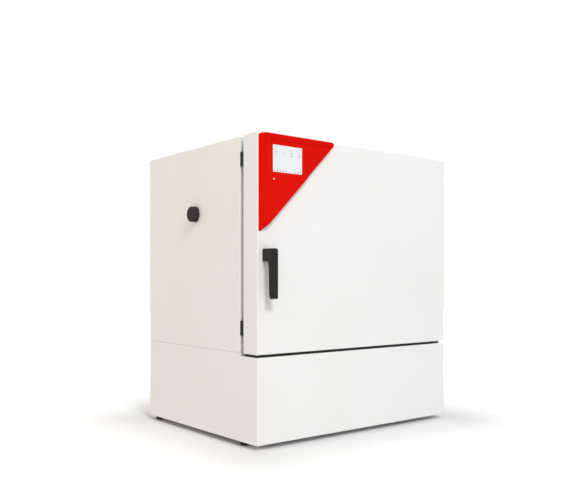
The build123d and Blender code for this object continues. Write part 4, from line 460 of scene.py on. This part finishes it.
# Display: a glass-fronted liquid crystal panel, lit from behind, nearly white.
screen, shader = new_finish("lit_screen", (0.74, 0.76, 0.78), 0.3, 0.0, 0.15)
shader.inputs["Emission Strength"].default_value = 0.03
two_tones(screen, shader.inputs["Emission Color"], noise(screen, 9.0), (0.86, 0.93, 1.0), (0.93, 0.97, 1.0))
two_tones(screen, shader.inputs["Base Color"], noise(screen, 9.0), (0.74, 0.76, 0.785), (0.78, 0.80, 0.82))
coat("control_display", screen)
lamp_lens, shader = new_finish("lamp_lens", (0.85, 0.85, 0.85), 0.2)
shader.inputs["Emission Strength"].default_value = 0.3
two_tones(lamp_lens, shader.inputs["Emission Color"], noise(lamp_lens, 900.0),
          (0.9, 0.95, 1.0), (1.0, 1.0, 1.0))
coat("status_led", lamp_lens)

# Readings on the screen: two rows of figures, the caption bars beside them and the row
# of small marks along the lower edge, all printed-thin dark liquid crystal segments.
segment_ink, shader = new_finish("segment_ink", (0.24, 0.26, 0.28), 0.5, 0.0, 0.15)
two_tones(segment_ink, shader.inputs["Base Color"], noise(segment_ink, 300.0),
          (0.21, 0.23, 0.25), (0.27, 0.29, 0.31))
pane_low, pane_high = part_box("control_display")
module_rim = 0.004
screen_left = pane_low.x + module_rim
screen_right = pane_high.x - module_rim
screen_low = pane_low.z + module_rim
screen_high = pane_high.z - module_rim
screen_front = pane_low.y
segment_depth = 0.00012


def on_screen(across, down):
    return (screen_left + across * (screen_right - screen_left), screen_front - segment_depth,
            screen_high - down * (screen_high - screen_low))


figure_size = 0.0062
for name, figures, across, down in (
        ("reading_set_1", "25.0", 0.585, 0.275), ("reading_now_1", "25", 0.875, 0.275),
        ("reading_set_2", "50.0", 0.585, 0.375), ("reading_now_2", "50", 0.875, 0.375)):
    bpy.ops.object.select_all(action="DESELECT")
    bpy.ops.object.text_add(location=on_screen(across, down), rotation=(math.radians(90.0), 0.0, 0.0))
    digits = bpy.context.object
    digits.name = name
    digits.data.body = figures
    digits.data.size = figure_size
    digits.data.extrude = segment_depth / 2
    digits.data.resolution_u = 4
    bpy.ops.object.convert(target="MESH")
    to_place(digits)
    digits.data.materials.clear()
    digits.data.materials.append(segment_ink)
    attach(digits, "outer_door")

for name, across, down, wide, high in (
        ("title_bar", 0.11, 0.07, 0.013, 0.0006), ("clock_bar", 0.83, 0.05, 0.018, 0.0006),
        ("caption_bar_1", 0.115, 0.225, 0.015, 0.0008), ("caption_bar_2", 0.09, 0.325, 0.010, 0.0008),
        ("head_bar_1", 0.64, 0.165, 0.009, 0.0006), ("head_bar_2", 0.89, 0.165, 0.011, 0.0006),
        ("unit_mark_1", 0.37, 0.245, 0.002, 0.0016), ("unit_mark_2", 0.39, 0.345, 0.0045, 0.0012),
        ("foot_mark_1", 0.05, 0.94, 0.0036, 0.0028), ("foot_mark_2", 0.15, 0.94, 0.0044, 0.0028),
        ("foot_mark_3", 0.25, 0.94, 0.0036, 0.0028), ("foot_mark_4", 0.35, 0.94, 0.0044, 0.0028),
        ("foot_mark_5", 0.45, 0.94, 0.0044, 0.0028), ("foot_mark_6", 0.76, 0.94, 0.0036, 0.0028),
        ("foot_mark_7", 0.86, 0.94, 0.0044, 0.0028), ("foot_mark_8", 0.955, 0.94, 0.0026, 0.0028)):
    bpy.ops.object.select_all(action="DESELECT")
    bpy.ops.mesh.primitive_cube_add(size=1.0, location=on_screen(across, down))
    mark = bpy.context.object
    mark.name = name
    mark.scale = (wide, segment_depth, high)
    to_place(mark)
    pick(mark, lambda centre, normal: normal.y < -0.9)
    bpy.ops.mesh.inset(thickness=min(wide, high) * 0.3)
    bpy.ops.transform.translate(value=(0.0, segment_depth * 0.4, 0.0))
    bpy.ops.object.mode_set(mode="OBJECT")
    mark.data.materials.append(segment_ink)
    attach(mark, "outer_door")

# Circuit board behind the display: green solder resist over copper tracks.
board, shader = new_finish("circuit_board", (0.02, 0.16, 0.06), 0.35)
tracks = board.node_tree.nodes.new("ShaderNodeTexBrick")
tracks.inputs["Scale"].default_value = 160.0
tracks.inputs["Color1"].default_value = (0.015, 0.13, 0.05, 1.0)
tracks.inputs["Color2"].default_value = (0.02, 0.17, 0.07, 1.0)
tracks.inputs["Mortar"].default_value = (0.05, 0.26, 0.1, 1.0)
tracks.inputs["Mortar Size"].default_value = 0.03
board.node_tree.links.new(place_on_piece(board), tracks.inputs["Vector"])
board.node_tree.links.new(tracks.outputs["Color"], shader.inputs["Base Color"])
coat("control_board", board)

# Floor: a wide seamless sheet of white paper that keeps the contact shadow. To the camera
# it glows more with the distance from the body, so that it runs out into plain white; the weak
# glow close round the body is painted shade on the paper, seen by the camera alone.
bpy.ops.object.select_all(action="DESELECT")
bpy.ops.mesh.primitive_plane_add(size=16.0, location=(0.0, 0.0, 0.0))
floor = bpy.context.object
floor.name = "studio_floor"
paper = bpy.data.materials.new("studio_paper")
paper.use_nodes = True
tree = paper.node_tree
paper_shader = tree.nodes["Principled BSDF"]
paper_shader.inputs["Base Color"].default_value = (0.88, 0.88, 0.88, 1.0)
paper_shader.inputs["Roughness"].default_value = 0.9
glow = tree.nodes.new("ShaderNodeEmission")
place = tree.nodes.new("ShaderNodeTexCoord")
folded = tree.nodes.new("ShaderNodeVectorMath")
folded.operation = "ABSOLUTE"
past_body = tree.nodes.new("ShaderNodeVectorMath")
past_body.operation = "SUBTRACT"
half_footprint = (0.4, 0.33, 0.0)
past_body.inputs[1].default_value = half_footprint
outside = tree.nodes.new("ShaderNodeVectorMath")
outside.operation = "MAXIMUM"
outside.inputs[1].default_value = (0.0, 0.0, 0.0)
reach = tree.nodes.new("ShaderNodeVectorMath")
reach.operation = "LENGTH"
glow_with_painted_shade = tree.nodes.new("ShaderNodeValToRGB")
glow_with_painted_shade.color_ramp.elements[0].position = 0.0
glow_with_painted_shade.color_ramp.elements[0].color = (0.0, 0.0, 0.0, 1.0)
glow_with_painted_shade.color_ramp.elements[1].position = 1.0
glow_with_painted_shade.color_ramp.elements[1].color = (1.0, 1.0, 1.0, 1.0)
# Painted shade: the glow stays low within a quarter metre of the footprint, darkening the paper there.
for spot, level in ((0.08, 0.05), (0.25, 0.26)):
    step = glow_with_painted_shade.color_ramp.elements.new(spot)
    step.color = (level, level, level, 1.0)
tree.links.new(place.outputs["Object"], folded.inputs[0])
tree.links.new(folded.outputs["Vector"], past_body.inputs[0])
tree.links.new(past_body.outputs["Vector"], outside.inputs[0])
tree.links.new(outside.outputs["Vector"], reach.inputs[0])
tree.links.new(reach.outputs["Value"], glow_with_painted_shade.inputs["Fac"])
tree.links.new(glow_with_painted_shade.outputs["Color"], glow.inputs["Color"])
glow.inputs["Strength"].default_value = 1.0
seen = tree.nodes.new("ShaderNodeLightPath")
unseen = tree.nodes.new("ShaderNodeMixShader")
added = tree.nodes.new("ShaderNodeAddShader")
tree.links.new(paper_shader.outputs["BSDF"], added.inputs[0])
tree.links.new(glow.outputs["Emission"], added.inputs[1])
tree.links.new(seen.outputs["Is Camera Ray"], unseen.inputs["Fac"])
tree.links.new(paper_shader.outputs["BSDF"], unseen.inputs[1])
tree.links.new(added.outputs["Shader"], unseen.inputs[2])
tree.links.new(unseen.outputs["Shader"], tree.nodes["Material Output"].inputs["Surface"])
floor.data.materials.append(paper)

# Studio light: a plain bright room, which camera, gloss and glass see as white, with one
# wide soft lamp from the upper left in front and a weaker one from the left.
world = bpy.data.worlds.new("studio_room")
bpy.context.scene.world = world
world.use_nodes = True
room = world.node_tree
light = room.nodes["Background"]
light.inputs["Color"].default_value = (1.0, 1.0, 1.0, 1.0)
light.inputs["Strength"].default_value = 0.53
white = room.nodes.new("ShaderNodeBackground")
white.inputs["Color"].default_value = (1.0, 1.0, 1.0, 1.0)
white.inputs["Strength"].default_value = 1.0
path = room.nodes.new("ShaderNodeLightPath")
camera_or_gloss = room.nodes.new("ShaderNodeMath")
camera_or_gloss.operation = "MAXIMUM"
any_direct = room.nodes.new("ShaderNodeMath")
any_direct.operation = "MAXIMUM"
choice = room.nodes.new("ShaderNodeMixShader")
room.links.new(path.outputs["Is Camera Ray"], camera_or_gloss.inputs[0])
room.links.new(path.outputs["Is Glossy Ray"], camera_or_gloss.inputs[1])
room.links.new(camera_or_gloss.outputs["Value"], any_direct.inputs[0])
room.links.new(path.outputs["Is Transmission Ray"], any_direct.inputs[1])
room.links.new(any_direct.outputs["Value"], choice.inputs["Fac"])
room.links.new(light.outputs["Background"], choice.inputs[1])
room.links.new(white.outputs["Background"], choice.inputs[2])
room.links.new(choice.outputs["Shader"], room.nodes["World Output"].inputs["Surface"])


def soft_lamp(name, place, target, width, height, power, colour):
    lamp = bpy.data.lights.new(name, "AREA")
    lamp.shape = "RECTANGLE"
    lamp.size = width
    lamp.size_y = height
    lamp.energy = power
    lamp.color = colour
    holder = bpy.data.objects.new(name, lamp)
    bpy.context.collection.objects.link(holder)
    holder.location = place
    holder.rotation_euler = (Vector(target) - Vector(place)).to_track_quat("-Z", "Y").to_euler()


soft_lamp("front_lamp", (-1.9, -6.2, 5.4), (0.0, -0.2, 0.5), 2.0, 1.8, 305.0, (1.0, 1.0, 1.0))
soft_lamp("left_lamp", (-4.5, 0.6, 1.6), (0.0, 0.0, 0.5), 2.0, 1.6, 32.0, (1.0, 0.74, 0.42))

# Camera: level, from the front left, with the shift that keeps the verticals upright.
camera = bpy.data.cameras.new("studio_camera")
camera.sensor_width = 36.0
camera.lens = 44.863
camera.shift_y = 0.0529
viewer = bpy.data.objects.new("studio_camera", camera)
bpy.context.collection.objects.link(viewer)
viewer.location = (-1.6396, -1.987, 0.4949)
viewer.rotation_euler = (math.radians(90.0), 0.0, math.radians(-38.79))
bpy.context.scene.camera = viewer
bpy.context.scene.view_settings.view_transform = "Standard"
